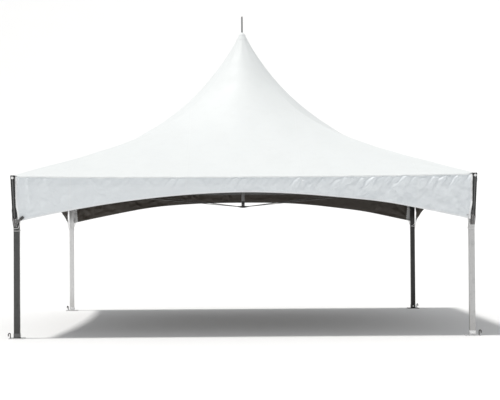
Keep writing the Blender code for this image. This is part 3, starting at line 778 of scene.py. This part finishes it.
profile = [(MAST_BORE - GAP, MAST_TOP_Z - PLUG_LONG), (MAST_BORE - GAP, MAST_TOP_Z + GAP)]
profile += [(FLANGE_RADIUS, MAST_TOP_Z + GAP), (FLANGE_RADIUS, CROWN_Z + 0.001)]
profile.append((DOME_RADIUS, CROWN_Z + 0.001))
for t in np.linspace(0, 1, 15):
    radius = ROD_RADIUS + (DOME_RADIUS - ROD_RADIUS) * (0.5 + 0.5 * np.cos(np.pi * t))
    profile.append((radius, DOME_RIM + DOME_TALL * t))
tip_z = SPIKE_TOP_Z - ROD_RADIUS * np.sin(np.radians(TIP_TURN))
profile += arc(0, tip_z, ROD_RADIUS, ROD_RADIUS, 0, TIP_TURN, 8)
spike_finish = aluminium("aluminium_spike", (300, 300, 5), 0.30)
spike = piece("spike_finial", *lathe(profile, 48), [spike_finish], "tube_aluminium")
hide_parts("peak_spike")


# Steel fittings: corner blocks and base plates, cut and welded, then dipped in zinc. The solids stay as they
# are, in finer materials.
def zinc(name, tone):
    """Hot-dip zinc gone dull: spangled plates of grey, white bloom in places, rust where water sits."""
    finish = Finish(name, 0.48, metallic=1.0)
    sockets = {"Vector": finish.place, "Scale": 130.0}
    spangle = finish.node("ShaderNodeTexVoronoi", {"feature": "F1"}, sockets, "Color")
    plate = finish.axes(spangle)[0]
    bloom = finish.noise(9.0, 5.0, rough=0.65).rise(0.50, 0.72)
    rust = finish.noise(31.0, 4.0, rough=0.7).rise(0.60, 0.74) * (1 - finish.axes()[2].rise(0.02, 0.10))
    colour = finish.layered(grey(tone * 0.80), (plate, grey(tone * 1.20)), (bloom * 0.4, grey(0.55)),
                            (rust * 0.6, (0.16, 0.075, 0.035, 1)))
    rough = 0.36 + plate * 0.12 + bloom * 0.22 + rust * 0.2
    return finish.set(colour, rough, plate * 0.25 + bloom * 0.4 + rust * 0.5, 0.0004)


zinc_coat = zinc("zinc_coat", 0.30)
bright_zinc = zinc("zinc_bright", 0.80)
# The pale zinc is painted sunlight on the base plates. The darkest zinc is the shoe's dark tone, and painted
# shade on the rear right base plate.
sunlit_painted_zinc = zinc("zinc_painted_sunlit", 0.60)
dark_and_shaded_zinc = zinc("zinc_dark_and_shaded", 0.07)
for corner in CORNERS:
    dress(f"corner_fitting_{corner}", zinc_coat)
    # Painted light and shade: the base plates are pale where sunlit, and the shaded rear right one is dark.
    dress(f"base_plate_{corner}", dark_and_shaded_zinc if corner == "rear_right" else sunlit_painted_zinc)


# Mast shoe: a dark casting as wide as the tube, plugged into its foot, with two crossed lug plates for the
# cables.
SHOE_RADIUS, SHOE_ROUND, SHOE_GAP = 0.0247, 0.0085, 0.0004
LUG_REACH, LUG_HALF, LUG_LEVELS = 0.0445, 0.0058, (0.0022, 0.0298)
SHOE_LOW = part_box("mast_shoe")[0][2]
PLUG_RADIUS, PLUG_TALL, PLUG_CHAMFER = MAST_BORE - SHOE_GAP, 0.055, 0.003


def at(flat, level):
    """Flat points lifted to one height."""
    return np.column_stack([flat, np.full(len(flat), level)])


profile = arc(SHOE_RADIUS - SHOE_ROUND, SHOE_LOW + SHOE_ROUND, SHOE_ROUND, SHOE_ROUND, -90, 0, 8)
profile += [(SHOE_RADIUS, MAST_FOOT_Z - SHOE_GAP), (PLUG_RADIUS, MAST_FOOT_Z - SHOE_GAP)]
profile.append((PLUG_RADIUS, MAST_FOOT_Z + PLUG_TALL))
profile.append((MAST_BORE - PLUG_CHAMFER, MAST_FOOT_Z + PLUG_TALL + PLUG_CHAMFER))
parts = [lathe(profile)]
for slant in (1, -1):
    outline = np.array([(-1, -1), (1, -1), (1, 1), (-1, 1)]) * (LUG_REACH, LUG_HALF)
    outline = outline @ np.array([(1, slant), (-slant, 1)]) / np.sqrt(2)
    parts.append(solid(np.stack([at(outline, SHOE_LOW + z) for z in LUG_LEVELS])))
shoe = piece("mast_shoe_cast", *joined(*parts), [dark_and_shaded_zinc], "galvanised_steel")
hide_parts("mast_shoe")


# Fastenings of the frame: a steel collar and weld bead at each leg's foot, and zinc-coated hexagon bolts
# through the beams' ends and the leg's head and foot.
# Painted light and shade: each collar is pale where sun falls on that foot and dark where the foot is
# shaded.
COLLAR_LIT_AND_SHADED_TONES = {"front_left": 0.16, "front_right": 0.80, "rear_left": 0.80, "rear_right": 0.07}
COLLAR_HIGH, COLLAR_OUT, COLLAR_ROUND = 0.066, 0.0034, 0.007
BEAD_OUT, BEAD_HIGH, BEAD_THICK = 0.0042, 0.0020, 0.0034
BEAM_BOLTS, HEAD_BOLT, FOOT_BOLT, BOLT_WASHER = (0.055, 0.115), 0.070, 0.025, 0.0105
(LEG_INNER, _, LEG_FOOT_Z), (LEG_OUTER, _, LEG_TOP_Z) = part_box("leg_rear_right")
LEG_CENTRE, LEG_HALF = (LEG_INNER + LEG_OUTER) / 2, (LEG_OUTER - LEG_INNER) / 2
BEAM_MID = (BEAM_LOW + BEAM_HIGH) / 2
BEAM_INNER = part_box("eave_beam_rear")[0][1]


def at_corners(name, made, finish, slot, stands_for=None, **more):
    """A piece at each corner, mirrored from the rear right one, which can stand for that corner's own node.
    The solid and the finish are one for all corners or one for each."""
    for corner, (sx, sy) in CORNERS.items():
        points, faces = made[corner] if isinstance(made, dict) else made
        own = finish[corner] if isinstance(finish, dict) else finish
        obj = piece(f"{name}_{corner}", points * (sx, sy, 1), faces, [own], slot, **more)
        if stands_for:
            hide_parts(f"{stands_for}_{corner}")


def carried(path, section, side, closed=False):
    """Rings of a section carried along a path: its first axis lies along side, its second square to side and
    path. Side and section may be one for all the path or one for each of its points."""
    path = np.asarray(path, float)
    ahead = np.roll(path, -1, 0) - np.roll(path, 1, 0) if closed else np.gradient(path, axis=0)
    ahead /= np.linalg.norm(ahead, axis=1, keepdims=True)
    side = np.broadcast_to(np.asarray(side, float), path.shape)
    side = side - ahead * (side * ahead).sum(1, keepdims=True)
    side = side / np.linalg.norm(side, axis=1, keepdims=True)
    up = np.cross(ahead, side)
    section = np.broadcast_to(section, (len(path), *np.shape(section)[-2:]))
    return path[:, None] + section[..., :1] * side[:, None] + section[..., 1:] * up[:, None]


def rounded(half_x, half_y, radius, steps=6):
    """A rectangle with round corners, as points about its centre."""
    turn = np.linspace(0, np.pi / 2, steps + 1)
    angle = (turn[None] + np.arange(4)[:, None] * np.pi / 2).ravel()
    signs = np.repeat([(1, 1), (-1, 1), (-1, -1), (1, -1)], steps + 1, axis=0)
    return signs * (half_x - radius, half_y - radius) + radius * np.stack([np.cos(angle), np.sin(angle)], -1)


centre = np.array([LEG_CENTRE, LEG_CENTRE, 0])
collar = np.stack([at(rounded(LEG_HALF + out, LEG_HALF + out, COLLAR_ROUND), z) for out, z in (
    (GAP, LEG_FOOT_Z), (0.0030, LEG_FOOT_Z), (COLLAR_OUT, LEG_FOOT_Z + 0.001),
    (COLLAR_OUT, COLLAR_HIGH - 0.002), (0.0026, COLLAR_HIGH), (GAP, COLLAR_HIGH))])
track = at(rounded(LEG_HALF + BEAD_OUT, LEG_HALF + BEAD_OUT, 0.010, 14), LEG_FOOT_Z + BEAD_HIGH)
lump = BEAD_THICK * (1 + 0.22 * np.sin(np.arange(len(track)) * 2.1))[:, None, None]
spokes = np.cross(np.roll(track, -1, 0) - np.roll(track, 1, 0), (0, 0, 1))
bead = carried(track, circle(1, 8) * lump, spokes, closed=True)
foot_ring = joined(solid(collar + centre, closed=True), solid(bead + centre, closed=True))
bolt_places = []
for step in BEAM_BOLTS:
    bolt_places.append(((LEG_INNER - step, BEAM_INNER, BEAM_MID), (0, -1, 0)))
    bolt_places.append(((BEAM_INNER, LEG_INNER - step, BEAM_MID), (-1, 0, 0)))
for z, out in ((LEG_TOP_Z - HEAD_BOLT, 0), (COLLAR_HIGH - FOOT_BOLT, COLLAR_OUT)):
    bolt_places.append(((LEG_CENTRE, LEG_INNER - out, z), (0, -1, 0)))
    bolt_places.append(((LEG_INNER - out, LEG_CENTRE, z), (-1, 0, 0)))
bolts = joined(*(aimed(hex_bolt(BOLT_WASHER), place, axis) for place, axis in bolt_places))
collar_zinc = {corner: zinc(f"zinc_collar_{corner}", tone) for corner, tone in COLLAR_LIT_AND_SHADED_TONES.items()}
at_corners("foot_collar", foot_ring, collar_zinc, "galvanised_steel")
at_corners("frame_bolts", bolts, bright_zinc, "galvanised_steel")


# Stakes: forged black steel pins with a hooked head, driven into the ground through the base plate's outer
# corner.
STAKE_OUT, STAKE_RADIUS, STAKE_BEND, STAKE_BEND_Z = 0.076, 0.007, 0.016, 0.058
HOOK_LEVELS, HOOK_TAPER = (0.050, 0.042, 0.037, 0.035), (0.93, 0.70)


def black_steel(name, tone):
    """Forged or painted black steel: worn grey on raised marks, with brown rust in the pits."""
    finish = Finish(name, 0.45, metallic=0.85)
    worn = finish.noise(40.0, 4.0).rise(0.55, 0.68)
    rust = finish.noise(70.0, 5.0, rough=0.7).rise(0.52, 0.66)
    brown = (0.11, 0.050, 0.022, 1)
    colour = finish.layered(grey(tone), (worn * 0.7, grey(tone * 3.2)), (rust * 0.45, brown))
    return finish.set(colour, 0.38 + rust * 0.3, finish.noise(260.0, 3.0) * 0.4 + rust * 0.4, 0.0005)


outward = np.array([1, 1, 0]) / np.sqrt(2)
shape = [(0, z) for z in np.linspace(0, STAKE_BEND_Z, 8)[:-1]]
shape += arc(STAKE_BEND, STAKE_BEND_Z, STAKE_BEND, STAKE_BEND, 180, 0, 21)
shape += [(2 * STAKE_BEND, z) for z in HOOK_LEVELS]
path = [centre + (STAKE_OUT, STAKE_OUT, 0) + outward * out + (0, 0, z) for out, z in shape]
swell = np.ones(len(path))
swell[-2:] = HOOK_TAPER
rings = carried(path, circle(STAKE_RADIUS, 20) * swell[:, None, None], (-outward[1], outward[0], 0))
at_corners("stake_pin", solid(rings), black_steel("steel_forged", 0.07), "dark_steel", "stake")


# Corner caps: moulded rubber pads on the corner blocks, domed so that the strap runs over them without a
# crease.
CAP_AT, CAP_FLAT, CAP_RADIUS, CAP_SIDE, CAP_TALL = 3.030, 0.024, 0.032, 0.012, 0.024


def moulded(name, tone):
    """Moulded black rubber: fine grain and a scuffed, paler bloom."""
    finish = Finish(name, 0.6)
    bloom = finish.noise(28.0, 4.0).rise(0.45, 0.70)
    colour = finish.layered(grey(tone), (bloom * 0.6, grey(tone * 2.2)))
    return finish.set(colour, 0.5 + bloom * 0.2, finish.noise(420.0, 2.0), 0.0003)


profile = [(CAP_RADIUS - 0.001, GAP), (CAP_RADIUS, 0.0010)]
for t in np.linspace(0, 1, 9):
    profile.append((CAP_RADIUS - 0.0010 * (1 - np.cos(2 * np.pi * t)) / 2, 0.002 + 0.009 * t))
profile += arc(CAP_FLAT, CAP_SIDE, CAP_RADIUS - CAP_FLAT, CAP_TALL - CAP_SIDE, 0, 90, 9)
profile.append((0.004, CAP_TALL))
pad = aimed(lathe(profile), (CAP_AT, CAP_AT, BEAM_HIGH), (0, 0, 1))
at_corners("cap_pad", pad, moulded("rubber_pad", 0.020), "black_cap", "corner_cap")


# Corner straps: 50 mm black webbing with a grey centre stripe, bolted under a steel washer at the cap's
# edge, led down the leg and folded in half with a quarter turn where it enters the ratchet.
STRAP_HALF, STRAP_THICK, STRAP_LAP, STRAP_BEND = 0.025, 0.0026, 0.022, 0.012
# Where the strap ends: its height, how far it leans sideways on the way down, how far it then turns back,
# and how far it stands off the leg.
STRAP_END_Z, STRAP_LEAN, STRAP_TURN, STRAP_OUT = 1.512, -0.026, 0.0065, 0.0180
WEB_START = 1
RIB_PITCH, YARN_PITCH, STRIPE_HALF = 0.0012, 0.0010, 0.0065
WASHER = ((0.0175, 0), (0.0175, 0.0012), (0.0160, 0.0022), (0.0115, 0.0024))
BUTTON = ((0.0110, 0.002), (0.0110, 0.0035), (0.0095, 0.0058), (0.0065, 0.0074), (0.0020, 0.0080))
RATCHET_CENTRE, SPINDLE_Z = 2.995, 1.500
LEG_FACE = LEG_OUTER + GAP


def webbing(name):
    """Woven polyester webbing: a twill of small ribs, a grey stripe down the middle, fuzz and dust."""
    finish = Finish(name, 0.8)
    across, along, _ = finish.laid()
    across = across - WEB_START
    rib = (along + 0.5 * abs(across)).repeat(RIB_PITCH) / RIB_PITCH
    yarn = across.repeat(YARN_PITCH) / YARN_PITCH
    stripe = abs(across).band(STRIPE_HALF, 0.0020)
    edge = abs(across).rise(0.0225, 0.0240)
    dust = finish.noise(60.0, 4.0).rise(0.42, 0.70)
    colour = finish.layered(
        grey(0.012), (rib * 0.5, grey(0.030)), (stripe * (0.75 + rib * 0.25), grey(0.15)),
        (edge * 0.3 + dust * 0.15, grey(0.10)))
    return finish.set(colour, 0.72 + rib * 0.12, rib * 0.6 + yarn * 0.3, 0.0005)


def ring_uv(across, along, rings):
    """A UV map for rings of a section: one number for each point round them, one for each ring."""
    shape = rings.shape[:2]
    return np.stack([np.broadcast_to(across, shape), np.broadcast_to(along[:, None], shape)], -1)


def strap_made():
    """The strap's rings and UV map, and where its washer sits. Its middle line runs over the cap, round an
    arc and down by a soft step to the ratchet. Toward its foot, soft steps halve its width, double its
    thickness and turn its section by a quarter."""
    level = BEAM_HIGH + CAP_TALL + 0.0004 + STRAP_THICK / 2
    bend_y = CAP_AT + CAP_FLAT
    face_y = bend_y + STRAP_BEND
    lead = [(CAP_AT, y, level) for y in np.linspace(CAP_AT - STRAP_LAP, bend_y - 0.004, 6)]
    lead += [(CAP_AT, y, z) for y, z in arc(bend_y, level - STRAP_BEND, STRAP_BEND, STRAP_BEND, 90, 0, 12)]
    top_z = lead[-1][2] - 0.006
    fall = np.linspace(0, 1, 90)
    fall_y = face_y + (LEG_FACE + STRAP_OUT - face_y) * soft_step(fall, 0.0, 1.0)
    fall_x = CAP_AT + STRAP_LEAN * fall + STRAP_TURN * soft_step(fall, 0.88, 1.0)
    path = np.array(lead + list(zip(fall_x, fall_y, top_z + (STRAP_END_Z - top_z) * fall)))
    turn, narrow, double = (np.concatenate([np.zeros(len(lead)), soft_step(fall, *span)]) for span in (
        (0.86, 0.97), (0.84, 0.95), (0.85, 0.95)))
    turn = turn * np.pi / 2
    halves = np.stack([STRAP_HALF * (1 - narrow / 2), STRAP_THICK / 2 * (1 + double)], -1)
    outline = rounded(1.0, 1.0, 0.3, 2)
    rings = carried(path, outline * halves[:, None], np.stack([np.cos(turn), np.sin(turn), 0 * turn], -1))
    uv = ring_uv(outline[:, 0] * STRAP_HALF + WEB_START, run_along(path), rings)
    return rings, uv, (CAP_AT, face_y + STRAP_THICK / 2, top_z - 0.014)


web = webbing("webbing_black")
rings, uv, button_at = strap_made()
button = aimed(joined(lathe(WASHER, 32), lathe(BUTTON, 28)), button_at, (0, 1, 0))
at_corners("strap_webbing", solid(rings), web, "black_webbing", "corner_strap", uv=uv)
at_corners("strap_washer", button, bright_zinc, "galvanised_steel")


# Ratchets: two cheek plates hold a drum that winds the webbing, with a toothed wheel, a pawl and a pressed
# lever that ends in a black grip. One lever was left slanting up toward the opening, the others lie shut.
LEVER_OPEN, LEVER_SHUT = np.radians((40, 90))
LEVER_BACK, LEVER_LONG, LEVER_OUT = 0.021, 0.098, 0.0475
LEVER_HALF, LEVER_NARROWS, LEVER_DEEP = 0.0215, 0.0065, 0.0045
GRIP_FROM, GRIP_TO, GRIP_OUT = 0.090, 0.145, 0.0432
GRIP, GRIP_RIB, RIB_DEEP = (0.0190, 0.0048, 0.0045), 0.0075, 0.055
CHANNEL = ((-1, 0), (-1, 1), (-0.84, 1), (-0.80, 0.30), (0.80, 0.30), (0.84, 1), (1, 1), (1, 0))
PAWL = ((-0.0225, 0.031), (-0.0125, 0.026), (-0.0040, 0.0185), (-0.0070, 0.0270), (-0.0160, 0.0360))
CHEEK_LEVELS, WHEEL_LEVELS = ((0.0006, 0.0034), (0.0312, 0.0340)), ((0.0042, 0.0062), (0.0345, 0.0372))
CHEEK, CHEEK_UP = (0.0255, 0.0530, 0.010), 0.0100
TEETH, TOOTH_POINTS, TOOTH_ROOT, TOOTH_TALL = 12, 96, 0.0170, 0.0045
SPINDLE, HUB = ((0.0090, 0.0), (0.0090, 0.0375)), ((0.0125, 0.0476), (0.0125, 0.0505), (0.0100, 0.0520))
CROSS_PINS = ((-0.016, 0.052), (0.019, -0.034), (-0.019, -0.034))
CROSS_PIN, PIN_NUT = ((0.0035, 0.0010), (0.0035, 0.0335)), 0.0060
COIL_TURNS, COIL_FROM, COIL_GROWS, COIL_HALF, COIL_OUT = 3.25, 0.0098, 0.0066, 0.0125, 0.0180


def plate(outline, low, high, bevel=0.0005):
    """A flat plate on the XY plane: its outline at two levels, drawn in by a bevel at both faces."""
    middle = outline.mean(0)
    inset = middle + (outline - middle) * (1 - bevel / np.abs(outline - middle).max())
    layers = (at(inset, low), at(outline, low + bevel), at(outline, high - bevel), at(inset, high))
    return solid(np.stack(layers))


def from_leg(made, x=0.0, z=0.0):
    """A solid built with Z away from the leg, X across and Y up, put on the rear right leg's face by the
    spindle."""
    points, faces = made
    return points[:, (0, 2, 1)] + (RATCHET_CENTRE + x, LEG_FACE, SPINDLE_Z + z), faces


def on_lever(angle, step, out, section):
    """A section carried along a lever's line, which starts at the spindle and rises at an angle."""
    along = np.array([-np.cos(angle), 0, np.sin(angle)])
    spine = np.array([RATCHET_CENTRE, LEG_FACE + out, SPINDLE_Z]) + step[:, None] * along
    return solid(carried(spine, section, (np.sin(angle), 0, np.cos(angle))))


def lever_made(angle):
    """The pressed lever: a channel section that narrows along its line and closes round the spindle."""
    step = np.linspace(-LEVER_BACK, LEVER_LONG, 40)
    half = LEVER_HALF - LEVER_NARROWS * soft_step(step, 0.0, 0.085)
    half = half * np.sqrt(np.clip(1 - np.clip(-step / 0.0225, 0, 1) ** 2, 0.05, 1))
    deep = LEVER_DEEP + LEVER_DEEP * soft_step(step, -0.020, 0.010)
    return on_lever(angle, step, LEVER_OUT, CHANNEL * np.stack([half, -deep], -1)[:, None])


def grip_made(angle):
    """The lever's grip: a rounded bar with sine ribs and an end that closes as a quarter of an ellipse."""
    step = np.linspace(GRIP_FROM, GRIP_TO, 56)
    swell = 1 + RIB_DEEP * np.sin((step - GRIP_FROM) * 2 * np.pi / GRIP_RIB)
    swell *= np.sqrt(np.clip(1 - np.clip((step - 0.1385) / 0.0068, 0, 1) ** 2, 0.08, 1))
    return on_lever(angle, step, GRIP_OUT, rounded(*GRIP, 3) * swell[:, None, None])


cheek = rounded(*CHEEK) + (0, CHEEK_UP)
tooth = np.arange(TOOTH_POINTS) / TOOTH_POINTS * TEETH % 1
wheel = circle(1, TOOTH_POINTS) * (TOOTH_ROOT + TOOTH_TALL * tooth)[:, None]
frame_parts = [plate(cheek, *levels) for levels in CHEEK_LEVELS]
frame_parts += [plate(wheel, *levels) for levels in WHEEL_LEVELS]
frame_parts.append(plate(np.array(PAWL), *WHEEL_LEVELS[1], 0.0003))
frame_parts += [lathe(SPINDLE, 28), lathe(HUB, 6)]
frame_parts = [from_leg(part) for part in frame_parts]
for x, z in CROSS_PINS:
    frame_parts.append(from_leg(lathe(CROSS_PIN, 16), x, z))
    frame_parts.append(from_leg(aimed(hex_bolt(PIN_NUT), (0, 0, CHEEK_LEVELS[1][1]), (0, 0, 1)), x, z))

turns = np.linspace(0, COIL_TURNS * 2 * np.pi, 150)
coil_radius = COIL_FROM + COIL_GROWS * turns / turns[-1]
coil_path = np.stack([coil_radius * np.cos(turns), 0 * turns + COIL_OUT, coil_radius * np.sin(turns)], -1)
outline = rounded(1.0, 1.0, 0.3, 2)
coil = carried(coil_path, outline * (COIL_HALF, 0.0009), (0, 1, 0)) + (RATCHET_CENTRE, LEG_FACE, SPINDLE_Z)
coil_uv = ring_uv(outline[:, 0] * COIL_HALF + WEB_START, turns * 0.013, coil)
angles = {corner: LEVER_OPEN if corner == "front_left" else LEVER_SHUT for corner in CORNERS}
bodies = {corner: joined(*frame_parts, lever_made(angle)) for corner, angle in angles.items()}
grips = {corner: grip_made(angle) for corner, angle in angles.items()}
at_corners("ratchet_frame", bodies, black_steel("steel_plated", 0.165), "dark_steel", "ratchet")
at_corners("ratchet_grip", grips, moulded("rubber_grip", 0.055), "black_cap")
at_corners("ratchet_winding", solid(coil), web, "black_webbing", uv=coil_uv)


# Cross cables: six-strand steel cable from each corner's lug to the mast's shoe, taut, with a pressed fork
# at both ends and a pipe turnbuckle near the corner.
CABLE_RADIUS, STRAND_LAY, STRANDS = 0.0050, 0.25, 6
# The holes of the lugs: how far out along the diagonal, and how far from the beam's top or the shoe's foot.
CORNER_HOLE, CORNER_HOLE_DOWN, SHOE_HOLE, SHOE_HOLE_UP = 0.0355, 0.036, 0.0455, 0.016
CABLE_FROM = np.array([LEG_INNER - CORNER_HOLE / np.sqrt(2)] * 2 + [BEAM_HIGH - CORNER_HOLE_DOWN])
CABLE_TO = np.array([SHOE_HOLE / np.sqrt(2)] * 2 + [SHOE_LOW + SHOE_HOLE_UP])
CORNER_SHANK, SHOE_SHANK = 0.0545, 0.0720
ROPE_FROM, LOBE_DEEP = 0.345, 0.075
# The fork's cheeks: half length, half width and corner radius, thickness, and the near face of each. Then
# its yoke and half its pin, as radius and height.
FORK_CHEEK, FORK_THICK, FORK_FACES = (0.0180, 0.0095, 0.0090), 0.0040, (0.0066, -0.0106)
YOKE = ((0.0095, 0.0130), (0.0128, 0.0160), (0.0128, 0.0220), (0.0080, 0.0280))
HALF_PIN = ((0.0045, 0.0107), (0.0075, 0.0107), (0.0075, 0.0125))
TURNBUCKLE = (0.0100, 0.0120, 0.0955, 0.2645)
THREADS, THREAD_PITCH = ((0.052, 0.094), (0.266, 0.312)), 0.0021
THREAD_RADIUS, THREAD_DEEP = 0.0056, 0.0007
# Nuts of the turnbuckle: inner and outer radius, height, and the two places where one starts.
NUTS = ((0.0118, 0.0136, 0.0095, (0.100, 0.252)), (0.0095, 0.0108, 0.007, (0.087, 0.266)))
FERRULE = ((0.0062, 0.310), (0.0080, 0.314), (0.0080, 0.344), (0.0066, 0.350), (0.0050, 0.352))


def drawn_steel(name, tone):
    """Steel wire and turned steel: bright crests, grease and dirt between, fine marks."""
    finish = Finish(name, 0.36, metallic=1.0)
    grime = finish.noise(55.0, 4.0, rough=0.65).rise(0.42, 0.70)
    colour = finish.layered(grey(tone), (grime * 0.6, grey(tone * 0.4, 0.06)))
    return finish.set(colour, 0.28 + grime * 0.3, finish.noise(340.0, 2.0), 0.0003)


def end_fitting(start, sign, shank_end):
    """A fork of two cheeks, its yoke, its pin and a pressed shank, at one end of the cable, facing it."""
    made = []
    for x in FORK_FACES:
        points, faces = plate(rounded(*FORK_CHEEK), x, x + FORK_THICK)
        made.append((points[:, (2, 1, 0)] + (0, 0, start + sign * 0.002), faces))
    for profile in (YOKE, [(0.0078, 0.0260), (0.0078, shank_end - 0.003), (0.0062, shank_end)]):
        made.append(lathe([(radius, start + sign * z) for radius, z in profile], 28))
    points, faces = lathe([*((radius, -z) for radius, z in HALF_PIN[::-1]), *HALF_PIN], 20)
    return made + [(points[:, (2, 1, 0)] + (0, 0, start - sign * 0.0085), faces)]


def barrel(inner, outer, low, high, bevel, steps):
    """A turned bar or nut from low to high whose ends are bevelled from one radius to the other."""
    return lathe([(inner, low), (outer, low + bevel), (outer, high - bevel), (inner, high)], steps)


span = float(np.linalg.norm(CABLE_TO - CABLE_FROM))
ahead = (CABLE_TO - CABLE_FROM) / span
level_side = np.cross(ahead, (0, 0, 1))
level_side /= np.linalg.norm(level_side)
strand = np.linspace(ROPE_FROM, span - SHOE_SHANK, 372)[:, None]
around = bearings(18)
lobes = 1 + LOBE_DEEP * np.cos(STRANDS * around - 2 * np.pi * STRANDS * strand / STRAND_LAY)
lobes = CABLE_RADIUS * 0.94 * lobes
rope = np.stack([lobes * np.cos(around), lobes * np.sin(around), strand + 0 * around], -1)
parts = [solid(rope), *end_fitting(0.0, 1, CORNER_SHANK), *end_fitting(span, -1, SHOE_SHANK)]
for low, high in THREADS:
    turns_z = np.linspace(low, high, 61)
    thread = THREAD_RADIUS + THREAD_DEEP * np.cos(2 * np.pi * turns_z / THREAD_PITCH)
    parts.append(lathe(np.stack([thread, turns_z], -1), 20))
parts.append(barrel(*TURNBUCKLE, 0.002, 32))
for inner, outer, tall, starts in NUTS:
    parts += [barrel(inner, outer, z, z + tall, 0.001, 6) for z in starts]
parts.append(lathe(FERRULE, 24))
points, faces = joined(*parts)
points = points @ np.stack([level_side, np.cross(level_side, ahead), ahead]) + CABLE_FROM
at_corners("cable", (points, faces), drawn_steel("steel_wire", 0.16), "cable_steel", "cross_cable", sharp=50)


# Lashings: each valance's lower corner is drawn to the leg by white braided cord, which goes once round the
# leg and through a metal-rimmed eyelet and back. Taut all the way, they aren't loose cords.
CORD_RADIUS, CORD_GAP, PLAIT = 0.0034, 0.0012, 0.0015
LEG_SQUARE = 9
WRAP_FROM, WRAP_TO, WRAP_SLANT = 0.12, 0.88, 0.006
EYELET = ((0.0075, 0), (0.0115, 0), (0.0125, 0.0008), (0.0105, 0.0016), (0.0080, 0.0016), (0.0068, 0.0008))
# The cord's places from the eyelet: down behind the cloth, up in front of it, and back through.
BEHIND = np.array([(0.0, -0.0085, 0.001), (0.003, -0.012, -0.030), (0.008, -0.016, -0.080)])
FRONT = ((0.013, -0.006, -0.090), (0.010, 0.0020, -0.045), (0.006, 0.0052, -0.012))
THROUGH = ((0.004, 0.0058, -0.004), (-0.001, 0.0066, 0.002), (0.0, 0.0, 0.0028))


def braided(name):
    """White braided cord: slanting plaits, greyed by handling."""
    finish = Finish(name, 0.75)
    turn_round, along, _ = finish.laid()
    one = (along + turn_round * 0.006).repeat(PLAIT) / PLAIT
    two = (along - turn_round * 0.006).repeat(PLAIT) / PLAIT
    dirt = finish.noise(45.0, 4.0).rise(0.42, 0.68)
    colour = finish.layered(grey(0.78), (dirt * 0.4, grey(0.50, 0.04)))
    return finish.set(colour, 0.75 + dirt * 0.1, one * 0.5 + two * 0.5, 0.0006)


def lashing_route(ring_z):
    """The cord's middle line: down behind the cloth, round the leg along a rounded square, up in front of
    the cloth and back through the eyelet."""
    wrap = np.linspace(WRAP_FROM, WRAP_TO, 46) * 2 * np.pi
    half = LEG_HALF + CORD_RADIUS + CORD_GAP
    out, over = -np.cos(wrap), np.sin(wrap)
    bulge = half * (np.abs(out) ** LEG_SQUARE + np.abs(over) ** LEG_SQUARE) ** (-1 / LEG_SQUARE)
    ring = np.stack([bulge * out, bulge * over, ring_z - WRAP_SLANT * out], -1) + centre
    last = eye + BEHIND[:1] + (0, 0.001, 0)
    places = [eye + BEHIND, ring[2:-2][::-1][::2], eye + FRONT, eye + THROUGH, last]
    return smooth_path(np.concatenate(places), 260)


cord_finish = braided("cord_white")
rim_metal = drawn_steel("eyelet_metal", 0.55)
eye = np.array([GROMMET[0], PLAN_HALF, GROMMET[1]])
rim_points, rim_faces = aimed(lathe(EYELET, 32, closed=True), eye + (0, 0.0002, 0), (0, 1, 0))
for face_side, ring_z, order in (("y", 1.440, (0, 1, 2)), ("x", 1.412, (1, 0, 2))):
    route = lashing_route(ring_z)
    rings = carried(route, circle(CORD_RADIUS, 12), (0.3, 0.2, 1.0))
    uv = ring_uv(np.arange(12) / 12, run_along(route), rings)
    points, faces = solid(rings)
    at_corners(f"lashing_{face_side}", (points[:, order], faces), cord_finish, "valance_vinyl", uv=uv)
    at_corners(f"eyelet_{face_side}", (rim_points[:, order], rim_faces), rim_metal, "galvanised_steel")
